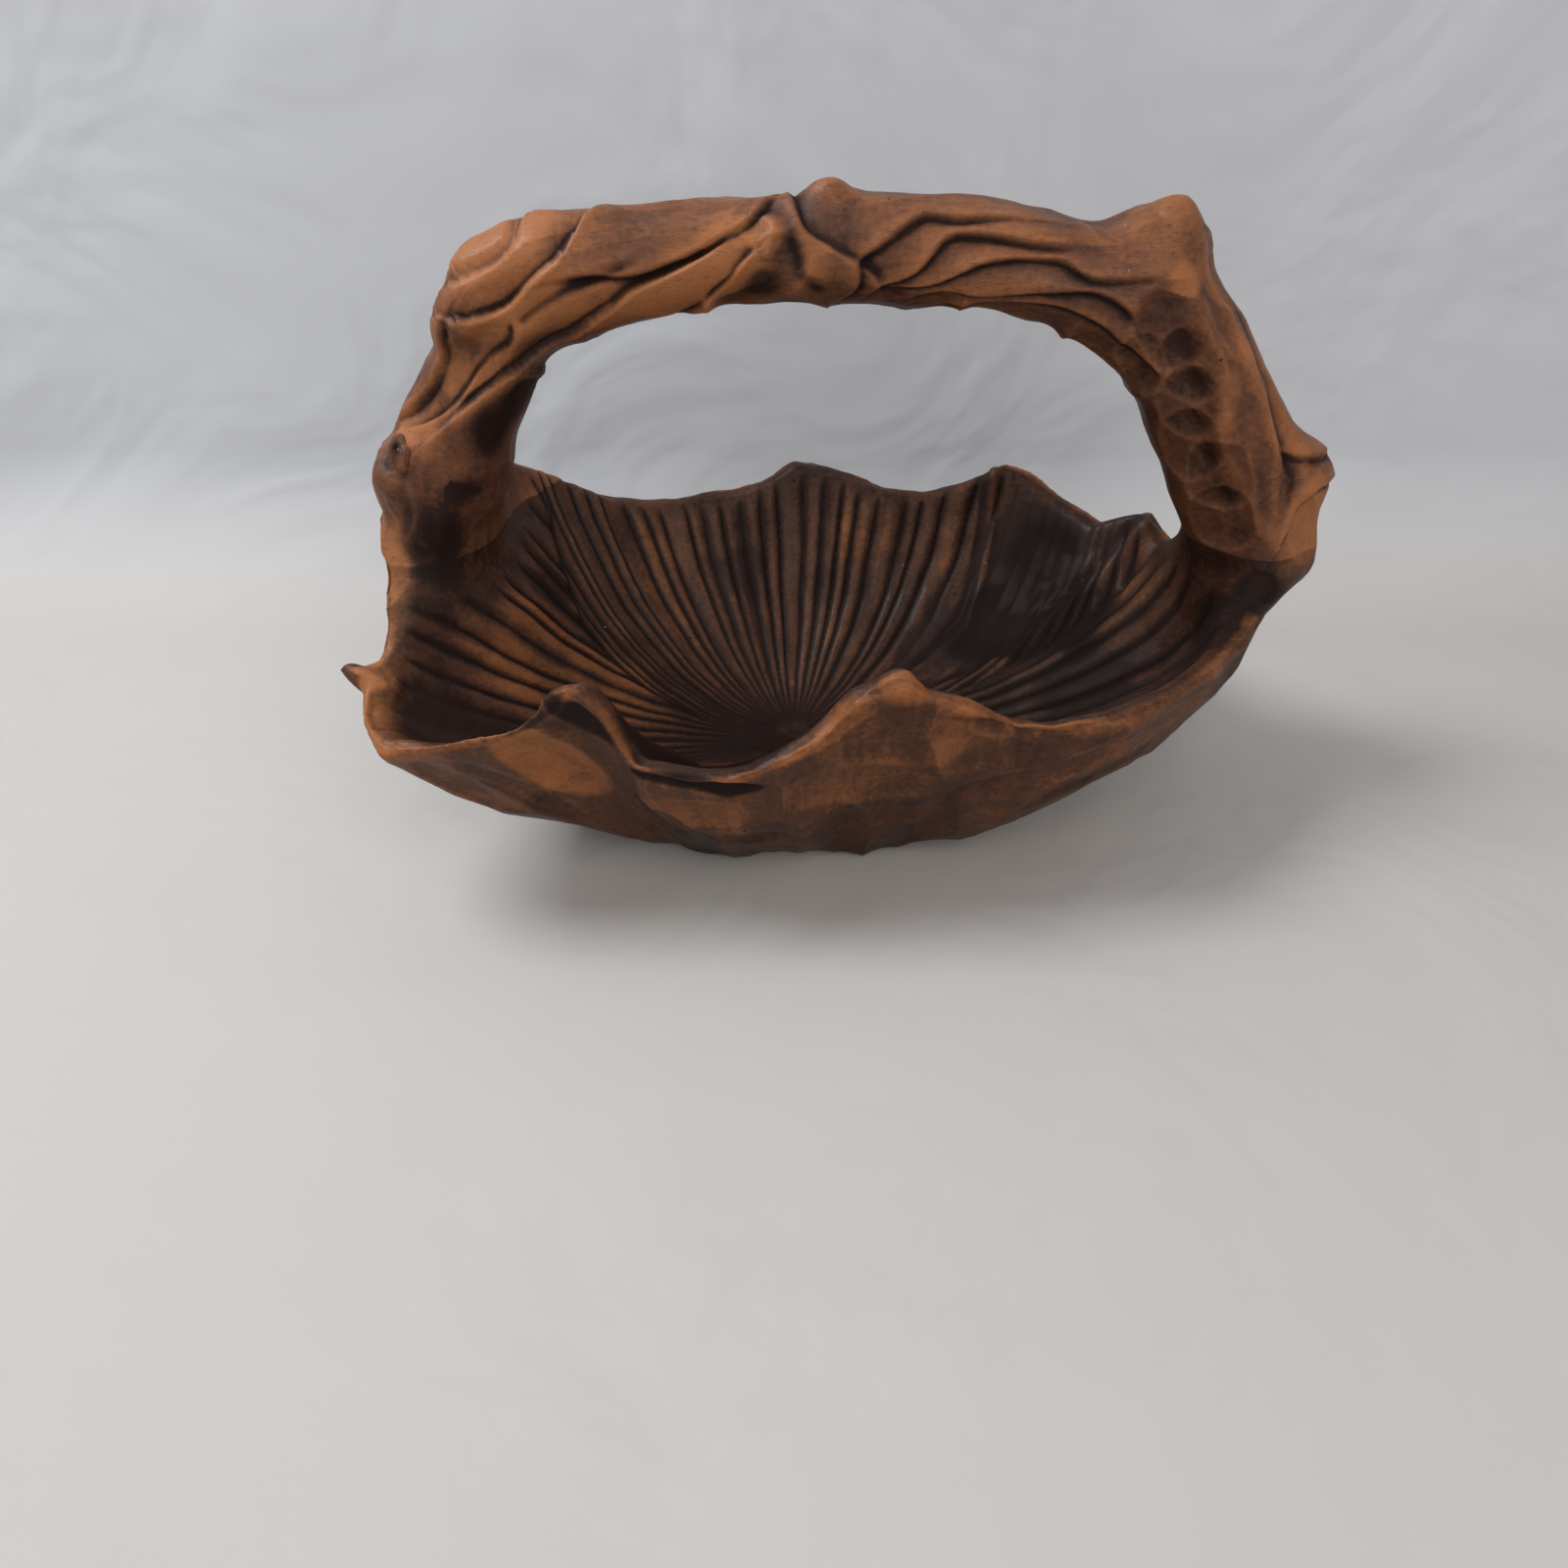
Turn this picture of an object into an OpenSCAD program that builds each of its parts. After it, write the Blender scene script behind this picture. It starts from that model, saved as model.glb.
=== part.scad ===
// A fruit bowl with an arched handle, carved from one block of root wood.
// +Z is up, X runs along the bowl under the handle, and -Y is the front.
// The origin is on the flat underside, where the ribs of the bowl meet above it.
// The node list cuts the one carving into its carved elements, which meet face to face.

/* [Bowl] */
// Half of the bowl's nominal length, along X
half_length = 190; // [150:1:230]
// Half of the bowl's nominal width, along Y
half_width = 113; // [90:1:140]
// Nominal height of the rim above the resting face
rim_height = 100; // [85:1:120]
// Height of the inside floor at its lowest point
floor_height = 22; // [16:1:30]
// Thickness of the wall at the rim
rim_thickness = 11; // [8:0.5:14]
// Half of the resting face's length, along X
base_half_length = 100; // [80:1:110]
// Half of the resting face's width, along Y
base_half_width = 66; // [50:1:75]

/* [Handle] */
// Thickness of the handle at its crown, seen from the front
handle_thickness = 40; // [30:1:48]
// Depth of the handle at its crown, from front to back
handle_depth = 42; // [32:1:50]
// Height that is added to the whole arch
handle_lift = 0; // [-10:1:25]

/* [Knots and twig] */
// Diameter of the ringed knot on the left leg
left_knot_d = 15; // [12:0.5:20]
// Diameter of the dark knot at the root of the right leg
right_knot_d = 16; // [12:0.5:20]
// Length of the twig stub on the left corner of the rim
twig_length = 22; // [14:1:30]

/* [Hidden] */

// Outline of the rim, each point [angle, reach, rise, thickness]: the angle in degrees from
// +X, the others as fractions of the nominal outline, of rim_height and of rim_thickness.
// It climbs and thickens at both ends, where the handle grows out of it.
RIM = [
    [0, 1.13, 1.16, 2.6], [6, 1.13, 1.24, 2.8], [11, 1.09, 1.10, 2.2], [15, 1.09, 0.98, 1.3],
    [22, 1.12, 1.09, 1], [26, 1.09, 0.94, 1], [34, 1.14, 1.00, 1], [41, 1.18, 1.09, 1],
    [45, 1.16, 1.13, 1], [50, 1.08, 1.05, 1], [57, 1.02, 1.01, 1], [66, 0.97, 1.04, 1],
    [79, 1.01, 1.12, 1], [90, 1.03, 1.14, 1], [95, 0.98, 1.09, 1], [106, 0.94, 1.04, 1],
    [119, 0.91, 1.03, 1], [131, 0.90, 1.04, 1.1], [140, 0.92, 1.09, 1.4], [149, 0.95, 1.24, 2.1],
    [158, 0.96, 1.40, 2.7], [170, 0.94, 1.50, 2.8], [180, 0.93, 1.50, 2.6], [187, 0.94, 1.38, 2],
    [192, 0.97, 1.22, 1.4], [197, 1.01, 1.04, 1.1], [202, 1.12, 0.98, 1], [207, 1.21, 0.91, 1],
    [213, 1.27, 0.88, 1], [220, 1.20, 0.92, 1], [225, 1.11, 1.00, 1], [230, 1.04, 1.17, 1],
    [234, 1.02, 1.06, 1], [240, 1.04, 0.84, 1], [251, 1.04, 0.81, 1], [260, 1.02, 0.82, 1],
    [273, 0.97, 0.94, 1], [282, 0.94, 1.12, 1], [290, 0.94, 1.17, 1], [298, 0.95, 1.10, 1],
    [306, 0.94, 1.03, 1], [311, 0.98, 0.96, 1], [317, 1.03, 0.94, 1], [324, 1.06, 0.94, 1],
    [333, 1.06, 0.96, 1], [346, 1.06, 0.98, 1.1], [355, 1.10, 1.02, 1.7], [360, 1.13, 1.16, 2.6],
];

// Centreline of the handle, each point [x, y, z, thickness, depth], with the last two as
// fractions of handle_thickness and handle_depth.
ARCH = [
    [-157, 11, 108, 0.80, 1.50], [-154, 9, 134, 1.10, 1.70], [-144, 5, 160, 1.34, 1.55],
    [-129, 3, 188, 1.12, 1.28], [-113, 3, 214, 1.10, 1.20], [-87, 3, 230, 1.14, 1.12],
    [-53, 3, 236, 1.02, 1.04], [-15, 3, 239, 0.98, 1.00], [25, 3, 240, 0.99, 1.00],
    [65, 3, 239, 0.99, 1.02], [99, 3, 232, 1.02, 1.06], [129, 3, 221, 1.26, 1.14],
    [152, 3, 202, 1.24, 1.20], [170, 4, 177, 1.28, 1.28], [188, 7, 149, 1.36, 1.42],
    [201, 11, 122, 1.30, 1.55], [208, 13, 100, 0.90, 1.30],
];

// Where the leaves part: the angle of each seam, and how far the floor reaches along it.
SEAMS = [[30, 62], [90, 46], [146, 60], [200, 70], [262, 46], [340, 70]];

ANGLE_STEP = 3;       // between two rings of the bowl
OUTER_STEPS = 7;      // points up the outside of the wall
INNER_STEPS = 8;      // points down the inside
ARCH_STEPS = 4;       // rings between two points of the centreline
SECTION_SIDES = 20;   // sides of the handle's section
LEG_CUT = 126;        // height at which the legs leave the bowl
BIG = 600;            // larger than the whole object
KNOT_DEPTH = 12;      // how deep a knot sits in the wood
DARK_WOOD = "#4a2f22";
RED_WOOD = "#6b3d28";
WARM_WOOD = "#8f5630";
KNOT_WOOD = "#2c1c15";

function mix(a, b, t) = a + (b - a) * t;
function column(table, k) = [for (p = table) [p[0], p[k]]];
function ellipse_reach(a, rx, ry) = 1 / sqrt(pow(cos(a) / rx, 2) + pow(sin(a) / ry, 2));
function base_reach(a) =
    pow(pow(abs(cos(a)) / base_half_length, 2.5) + pow(abs(sin(a)) / base_half_width, 2.5), -0.4);
function rim_reach(a) = lookup(a, column(RIM, 1)) * ellipse_reach(a, half_length, half_width);
function rim_rise(a) = lookup(a, column(RIM, 2)) * rim_height;
function wall_at_rim(a) = lookup(a, column(RIM, 3)) * rim_thickness;
// How much the wall bellies out, from 0 at the back left to 1 at the front right
function belly(a) = 0.5 + 0.5 * cos(a + 30);

// One upright section of the bowl at angle a, as [radius, height] from the underside's
// edge, up the outside, over the rim and down the inside.
function outside_at(a, t) = [
    mix(base_reach(a), rim_reach(a), mix(pow(t, 0.9), sin(90 * t), belly(a))),
    rim_rise(a) * pow(t, 1.15),
];
function inside_at(a, t) = [
    (rim_reach(a) - wall_at_rim(a)) * mix(t, sin(90 * t), 0.3 + 0.5 * belly(a)),
    mix(floor_height, rim_rise(a) - wall_at_rim(a) * 0.08, 1 - cos(90 * t)),
];
function bowl_section(a) = concat(
    [[base_reach(a) - 4, 0]],
    [for (k = [1 : OUTER_STEPS]) outside_at(a, mix(0.04, 0.985, (k - 1) / (OUTER_STEPS - 1)))],
    [[rim_reach(a) - wall_at_rim(a) * 0.45, rim_rise(a)]],
    [for (k = [0 : INNER_STEPS - 1]) inside_at(a, 1 - k / INNER_STEPS)]
);

// Catmull-Rom curve through the points of a list
function along(points, i, t) =
    let (p0 = points[max(i - 1, 0)], p1 = points[i])
    let (p2 = points[i + 1], p3 = points[min(i + 2, len(points) - 1)])
    0.5 * (2 * p1 + (p2 - p0) * t + (2 * p0 - 5 * p1 + 4 * p2 - p3) * t * t
        + (3 * p1 - p0 - 3 * p2 + p3) * t * t * t);

// The bowl's shell: rings of the section at every angle, closed by a pole below and above
module bowl_shell() {
    angles = [for (a = [0 : ANGLE_STEP : 360 - ANGLE_STEP]) a];
    sections = [for (a = angles) bowl_section(a)];
    n = len(angles);
    m = len(sections[0]);
    points = concat(
        [for (i = [0 : n - 1]) for (p = sections[i])
            [p[0] * cos(angles[i]), p[0] * sin(angles[i]), p[1]]],
        [[0, 0, 0], [0, 0, floor_height]]
    );
    walls = [for (i = [0 : n - 1]) for (j = [0 : m - 2])
        let (a = i * m + j, b = ((i + 1) % n) * m + j)
        each [[a, a + 1, b + 1], [a, b + 1, b]]];
    underside = [for (i = [0 : n - 1]) [n * m, i * m, ((i + 1) % n) * m]];
    inside_floor = [for (i = [0 : n - 1]) [n * m + 1, ((i + 1) % n) * m + m - 1, i * m + m - 1]];
    polyhedron(points, concat(walls, underside, inside_floor), convexity = 6);
}

// The arched handle: oval sections swept along the centreline
module handle_arch() {
    spans = len(ARCH) - 1;
    route = concat(
        [for (i = [0 : spans - 1]) for (k = [0 : ARCH_STEPS - 1]) along(ARCH, i, k / ARCH_STEPS)],
        [ARCH[spans]]
    );
    n = len(route);
    s = SECTION_SIDES;
    points = [for (i = [0 : n - 1])
        let (p = route[i], d = route[min(i + 1, n - 1)] - route[max(i - 1, 0)])
        let (slope = atan2(d[2], d[0]))
        for (k = [0 : s - 1])
            let (u = 360 * k / s)
            let (h = 0.5 * handle_thickness * p[3] * cos(u))
            [p[0] - h * sin(slope),
             p[1] + 0.5 * handle_depth * p[4] * sin(u),
             p[2] + handle_lift + h * cos(slope)]];
    sides = [for (i = [0 : n - 2]) for (k = [0 : s - 1])
        let (a = i * s + k, b = i * s + (k + 1) % s)
        each [[a, b, b + s], [a, b + s, a + s]]];
    first = [for (k = [s - 1 : -1 : 0]) k];
    last = [for (k = [0 : s - 1]) (n - 1) * s + k];
    polyhedron(points, concat(sides, [first, last]), convexity = 6);
}

// A rounded swelling with half sizes size, tilted by tilt degrees in the front view
module burl(place, size, tilt) {
    translate(place + [0, 0, handle_lift]) rotate([0, -tilt, 0])
        resize(2 * size) sphere(r = 1, $fn = 28);
}

module swellings() {
    burl([-121, -1, 224], [16, 23, 26], -38);      // lower lobe of the left elbow
    burl([-98, 0, 236], [26, 22, 17], 20);         // upper lobe of the left elbow
    burl([12, 5, 251], [17, 14, 13], -12);         // bud at the crown
    burl([134, 4, 237], [22, 19, 20], -12);        // right elbow
    burl([206, 3, 153], [18, 22, 17], -25);        // stub on the right leg
    burl([208, 7, 118], [20, 26, 20], 0);          // root of the right leg
    burl([-160, -1, 154], [18, 26, 18], -15);      // swelling round the left knot
}

module whole_carving() {
    bowl_shell();
    handle_arch();
    swellings();
}

// One closed skin round whatever it is given
module one_skin() {
    resize([0, 0, 0]) children();
}

function on_seam(k) = SEAMS[k][1] * [cos(SEAMS[k][0]), sin(SEAMS[k][0])];
function far_on_seam(k) = BIG * [cos(SEAMS[k][0]), sin(SEAMS[k][0])];
FLOOR_OUTLINE = [for (k = [0 : len(SEAMS) - 1]) on_seam(k)];

// The wood between seam k and the next one, outside the floor and below the legs' cut
module leaf(k) {
    next = (k + 1) % len(SEAMS);
    one_skin() difference() {
        intersection() {
            whole_carving();
            linear_extrude(LEG_CUT)
                polygon([on_seam(k), far_on_seam(k), far_on_seam(next), on_seam(next)]);
        }
        left_knot_plug();
        right_knot_plug();
        twig_spike();
    }
}

// Cuts across the handle, seen from the front: [x, z, angle] of a line through the wood,
// from the left root round to the right root.
CUTS = [
    [-150, LEG_CUT, 180], [-127, 197, 150], [-80, 232, 102], [-8, 239, 76],
    [27, 241, 76], [107, 230, 68], [161, 185, 35], [195, LEG_CUT, 0],
];
CUT_REACH = 62;       // how far a cut's line runs to each side of its middle

function cut_end(k, side) = [
    CUTS[k][0] + side * CUT_REACH * cos(CUTS[k][2]),
    CUTS[k][1] + side * CUT_REACH * sin(CUTS[k][2]),
];

// The part of the handle between cut k and the next one
module handle_span(k) {
    one_skin() difference() {
        intersection() {
            whole_carving();
            rotate([90, 0, 0]) linear_extrude(BIG, center = true)
                polygon([cut_end(k, -1), cut_end(k, 1), cut_end(k + 1, 1), cut_end(k + 1, -1)]);
        }
        left_knot_plug();
        right_knot_plug();
    }
}

// Knots: plugs of end grain, each along a line from its place inwards
module knot_plug(place, turn, d) {
    translate(place) rotate(turn) translate([0, 0, -KNOT_DEPTH]) cylinder(h = KNOT_DEPTH, d = d, $fn = 32);
}

module left_knot_plug() {
    knot_plug([-158, -20, 171], [67, 0, -46], left_knot_d);
}

module right_knot_plug() {
    knot_plug([198, -18, 110], [66, 0, -12], right_knot_d);
}

// The stub of a side twig that points out of the left front corner
module twig_spike() {
    root = [-166, -67, 91];
    tip = root + twig_length * [-0.88, 0.15, 0.40];
    one_skin() hull() {
        translate(root) sphere(d = 14, $fn = 20);
        translate(mix(root, tip, 0.55)) sphere(d = 10, $fn = 16);
        translate(tip) sphere(d = 3, $fn = 12);
    }
}

module bowl_floor() {
    color(DARK_WOOD) one_skin() intersection() {
        bowl_shell();
        linear_extrude(LEG_CUT) polygon(FLOOR_OUTLINE);
    }
}

module leaf_back_right() { color(DARK_WOOD) leaf(0); }
module leaf_back_left() { color(RED_WOOD) leaf(1); }
module leaf_left() { color(WARM_WOOD) leaf(2); }
module leaf_front_left() { color(RED_WOOD) leaf(3); }
module leaf_front_right() { color(WARM_WOOD) leaf(4); }
module leaf_right() { color(RED_WOOD) leaf(5); }

module handle_left_leg() { color(RED_WOOD) handle_span(0); }
module left_elbow_burl() { color(WARM_WOOD) handle_span(1); }
module handle_left_branch() { color(RED_WOOD) handle_span(2); }
module crown_bud() { color(WARM_WOOD) handle_span(3); }
module handle_right_branch() { color(RED_WOOD) handle_span(4); }
module right_elbow_burl() { color(WARM_WOOD) handle_span(5); }
module handle_right_leg() { color(RED_WOOD) handle_span(6); }

module left_knot() { color(KNOT_WOOD) left_knot_plug(); }
module right_knot() { color(KNOT_WOOD) right_knot_plug(); }
module twig_stub() { color(WARM_WOOD) twig_spike(); }

bowl_floor();
leaf_back_left();
leaf_back_right();
leaf_right();
leaf_front_right();
leaf_front_left();
leaf_left();
handle_left_leg();
left_elbow_burl();
handle_left_branch();
crown_bud();
handle_right_branch();
right_elbow_burl();
handle_right_leg();
left_knot();
right_knot();
twig_stub();
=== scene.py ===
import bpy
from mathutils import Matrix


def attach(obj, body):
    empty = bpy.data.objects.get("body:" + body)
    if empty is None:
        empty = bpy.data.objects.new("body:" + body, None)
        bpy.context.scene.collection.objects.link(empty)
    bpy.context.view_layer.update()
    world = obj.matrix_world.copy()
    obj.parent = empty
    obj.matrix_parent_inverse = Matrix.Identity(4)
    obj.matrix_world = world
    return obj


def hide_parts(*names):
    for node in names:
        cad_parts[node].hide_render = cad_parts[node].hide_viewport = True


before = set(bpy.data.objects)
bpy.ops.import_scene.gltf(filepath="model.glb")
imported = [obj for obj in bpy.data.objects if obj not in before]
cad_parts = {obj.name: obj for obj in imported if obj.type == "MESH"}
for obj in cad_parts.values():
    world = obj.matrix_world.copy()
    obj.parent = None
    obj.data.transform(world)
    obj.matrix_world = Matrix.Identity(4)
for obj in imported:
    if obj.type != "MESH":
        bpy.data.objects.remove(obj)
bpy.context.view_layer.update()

import math
import bmesh
import bpy
import numpy as np
import openvdb as vdb
from mathutils import Matrix, Vector

# A fruit bowl with an arched handle, carved from one block of root wood.
# Shapes are worked out in millimetres in the frame of the CAD model and written in metres.
# The CAD solids are fused into one block, softened, and carved: ribs inside the bowl, gouge
# cuts outside it, overlapping strokes along the handle. The carved skin is then parted again
# along the same planes as the CAD nodes, with closed ends.

MM = 0.001
VOXEL = 1.6                              # size of a cell of the block, in mm
BAND = 3                                 # cells on each side of a surface whose depth is known
SMOOTHING = (0.5, -0.52)                 # one step in and one step out, which keeps the volume
WELD = 4e-5                              # corners of a cut closer than this become one, in m
SAME_PLACE = 1e-6                        # corners this close are one corner once exported
RECUT_FROM = 2                           # from this turn on the faces round a fault are refilled
LOOSE_FACES = 60                         # a bit with at most this many faces at a cut is waste
CUT_SLACK = 2e-5                         # points this close to a cutting plane lie on it, in m
ZIPS = [0, 1e-4, 2e-4, 4e-4, 7e-4, 1e-3, 1.5e-3]  # how far apart the sides of a gap may be closed
LEG_CUT = 126                            # height at which the legs leave the bowl
STAGE_HALF = 2.2                         # half the width of the floor and backdrop, in m
BOWL_FOCUS = np.array([0.0, 0.0, 150.0])  # what the inside of the bowl faces

# Centreline of the handle: [x, y, z, half thickness, half depth]
ARCH = np.array([
    [-157, 11, 108, 16, 32], [-154, 9, 134, 22, 36], [-144, 5, 160, 27, 33], [-129, 3, 188, 22, 27],
    [-113, 3, 214, 22, 25], [-87, 3, 230, 23, 24], [-53, 3, 236, 20, 22], [-15, 3, 239, 20, 21],
    [25, 3, 240, 20, 21], [65, 3, 239, 20, 21], [99, 3, 232, 20, 22], [129, 3, 221, 25, 24],
    [152, 3, 202, 25, 25], [170, 4, 177, 26, 27], [188, 7, 149, 27, 30], [201, 11, 122, 26, 33],
    [208, 13, 100, 18, 27],
], float)
GIRTH = 22                               # mean radius of the handle's section

# Where the leaves part: [angle, reach of the floor]
SEAMS = [[30, 62], [90, 46], [146, 60], [200, 70], [262, 46], [340, 70]]
LEAVES = ["leaf_back_right", "leaf_back_left", "leaf_left",
          "leaf_front_left", "leaf_front_right", "leaf_right"]
# Cuts across the handle, seen from the front: [x, z, angle] of a line through the wood
CUTS = [[-127, 197, 150], [-80, 232, 102], [-8, 239, 76], [27, 241, 76], [107, 230, 68], [161, 185, 35]]
SPANS = ["handle_left_leg", "left_elbow_burl", "handle_left_branch", "crown_bud",
         "handle_right_branch", "right_elbow_burl", "handle_right_leg"]
TWIG_ROOT = np.array([-166.0, -67.0, 91.0])
TWIG_WAY = np.array([-0.88, 0.15, 0.40]) / np.linalg.norm([-0.88, 0.15, 0.40])
# Wood that leads each leg down into the wall: [upper end, radius, lower end, radius]
ROOTS = [
    [(-156, 4, 122), 26, (-139, -2, 66), 7], [(-150, 34, 118), 16, (-128, 36, 74), 6],
    [(202, 4, 120), 27, (180, 0, 62), 7], [(196, 32, 112), 15, (172, 34, 70), 6],
]
# Where hollow corners are filled: [place, reach, width of the fillet]
FILLETS = [
    [(-146, 4, 104), 62, 8], [(203, 8, 112), 56, 7], [(138, 4, 236), 46, 7],
    [(16, 5, 250), 34, 5], [(-112, 0, 228), 40, 3.5], [(206, 4, 154), 36, 6],
]
# Knots: [place, turn about X, turn about Z, diameter]
KNOTS = {
    "left_knot": [(-158, -20, 171), 67, -46, 15],
    "right_knot": [(198, -18, 110), 66, -12, 16],
}


# ---------------------------------------------------------------- small tools

def ramp(x, a, b):
    """0 below a, 1 above b, smooth in between; a may be larger than b."""
    t = np.clip((x - a) / (b - a), 0.0, 1.0)
    return t * t * (3.0 - 2.0 * t)


def noise(points, cell, seed):
    """Smooth value noise from -1 to 1, with one value per cell millimetres."""
    side = 32
    table = np.random.default_rng(seed).uniform(-1, 1, (side, side, side)).astype(np.float32)
    grid = points / cell + 500.0
    base = np.floor(grid).astype(np.int32)
    f = (grid - base).astype(np.float32)
    f = f * f * (3 - 2 * f)
    total = np.zeros(len(points), np.float32)
    for dx in (0, 1):
        wx = f[:, 0] if dx else 1 - f[:, 0]
        for dy in (0, 1):
            wy = f[:, 1] if dy else 1 - f[:, 1]
            for dz in (0, 1):
                wz = f[:, 2] if dz else 1 - f[:, 2]
                total += wx * wy * wz * table[
                    (base[:, 0] + dx) % side, (base[:, 1] + dy) % side, (base[:, 2] + dz) % side]
    return total


def wave(x, count, seed):
    """A smooth periodic curve of x in turns, from about -1 to 1, with count random values."""
    table = np.random.default_rng(seed).uniform(-1, 1, count)
    g = (x % 1.0) * count
    i = np.floor(g).astype(int)
    f = g - i
    f = f * f * (3 - 2 * f)
    return table[i % count] * (1 - f) + table[(i + 1) % count] * f


def gouge_cells(u, v, seed, turns):
    """Cells of overlapping gouge cuts in the plane (u, v), in units of one cut.

    Gives the squared distance to the middle of the nearest cut, the distance to its edge, a
    random tint per cut and the number of the cut. u wraps round after turns cells.
    """
    table = np.random.default_rng(seed).uniform(0, 1, (64, 64, 3))
    best = np.full(len(u), 9.0)
    second = np.full(len(u), 9.0)
    tint = np.zeros(len(u))
    number = np.zeros(len(u), int)
    iu = np.floor(u).astype(int)
    iv = np.floor(v).astype(int)
    for du in (-1, 0, 1):
        for dv in (-1, 0, 1):
            cell = table[(iu + du) % turns, (iv + dv) % 64]
            d = (u - iu - du - 0.1 - 0.8 * cell[:, 0]) ** 2 + (v - iv - dv - 0.1 - 0.8 * cell[:, 1]) ** 2
            closer = d < best
            second = np.where(closer, best, np.minimum(second, d))
            tint = np.where(closer, cell[:, 2], tint)
            number = np.where(closer, (iu + du) % turns * 64 + (iv + dv) % 64, number)
            best = np.where(closer, d, best)
    return best, np.sqrt(second) - np.sqrt(best), tint, number


def along_curve(points, steps):
    """Catmull-Rom curve through the rows of points."""
    rows = []
    last = len(points) - 1
    for i in range(last):
        p0, p1, p2, p3 = points[max(i - 1, 0)], points[i], points[i + 1], points[min(i + 2, last)]
        for t in np.arange(steps) / steps:
            rows.append(0.5 * (2 * p1 + (p2 - p0) * t + (2 * p0 - 5 * p1 + 4 * p2 - p3) * t ** 2
                               + (3 * p1 - p0 - 3 * p2 + p3) * t ** 3))
    rows.append(points[last])
    return np.array(rows)


def values_of(items, key, width, kind):
    """One row of width values for each of Blender's items."""
    values = np.empty(len(items) * width, kind)
    items.foreach_get(key, values)
    return values.reshape(-1, width) if width > 1 else values


def add_field(mesh, label, values):
    """Puts one value or one vector on each point of a mesh."""
    kind, key = ("FLOAT_VECTOR", "vector") if values.ndim == 2 else ("FLOAT", "value")
    mesh.attributes.new(label, kind, "POINT").data.foreach_set(key, values.astype(np.float32).ravel())


def placed(name, data):
    """A new object in the scene with this mesh, light or camera."""
    thing = bpy.data.objects.new(name, data)
    bpy.context.collection.objects.link(thing)
    return thing


# ---------------------------------------------------------------- materials

class Nodes:
    """Short hand for building a material."""

    def __init__(self, name):
        self.material = bpy.data.materials.new(name)
        self.material.use_nodes = True
        self.tree = self.material.node_tree
        self.shader = self.tree.nodes["Principled BSDF"]

    def new(self, kind, **values):
        node = self.tree.nodes.new(kind)
        for key, value in values.items():
            setattr(node, key, value)
        return node

    def link(self, a, b):
        self.tree.links.new(a, b)

    def put(self, socket, value):
        if isinstance(value, (int, float, tuple)):
            socket.default_value = value
        else:
            self.link(value, socket)

    def math(self, kind, a, b=0.0, clamp=False):
        node = self.new("ShaderNodeMath", operation=kind, use_clamp=clamp)
        self.put(node.inputs[0], a)
        self.put(node.inputs[1], b)
        return node.outputs[0]

    def spread(self, value, low, high, to_low=0.0, to_high=1.0):
        node = self.new("ShaderNodeMapRange", interpolation_type="SMOOTHSTEP")
        self.put(node.inputs["Value"], value)
        for key, number in (("From Min", low), ("From Max", high), ("To Min", to_low), ("To Max", to_high)):
            node.inputs[key].default_value = number
        return node.outputs[0]

    def attribute(self, name):
        return self.new("ShaderNodeAttribute", attribute_name=name)

    def scaled(self, vector, scale):
        node = self.new("ShaderNodeMapping", vector_type="POINT")
        self.link(vector, node.inputs["Vector"])
        node.inputs["Scale"].default_value = scale
        return node.outputs[0]

    def noise(self, vector, scale, detail=3.0, distortion=0.0):
        node = self.new("ShaderNodeTexNoise")
        self.link(vector, node.inputs["Vector"])
        node.inputs["Scale"].default_value = scale
        node.inputs["Detail"].default_value = detail
        node.inputs["Distortion"].default_value = distortion
        return node.outputs["Fac"]

    def spots(self, vector, scale, size, share):
        """Round spots of a radius of size cells, in about that share of the cells."""
        node = self.new("ShaderNodeTexVoronoi")
        self.link(vector, node.inputs["Vector"])
        node.inputs["Scale"].default_value = scale
        near = self.spread(node.outputs["Distance"], size, size * 0.6)
        split = self.new("ShaderNodeSeparateColor")
        self.link(node.outputs["Color"], split.inputs["Color"])
        picked = self.math("LESS_THAN", split.outputs["Red"], share)
        return self.math("MULTIPLY", near, picked)

    def mix(self, share, a, b, kind="MIX"):
        node = self.new("ShaderNodeMix", data_type="RGBA", blend_type=kind)
        self.put(node.inputs["Factor"], share)
        self.put(node.inputs[6], a)
        self.put(node.inputs[7], b)
        return node.outputs[2]

    def bump(self, height, strength, distance):
        node = self.new("ShaderNodeBump")
        self.put(node.inputs["Strength"], strength)
        self.put(node.inputs["Distance"], distance)
        self.link(height, node.inputs["Height"])
        self.link(node.outputs["Normal"], self.shader.inputs["Normal"])


# ---------------------------------------------------------------- stage

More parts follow.
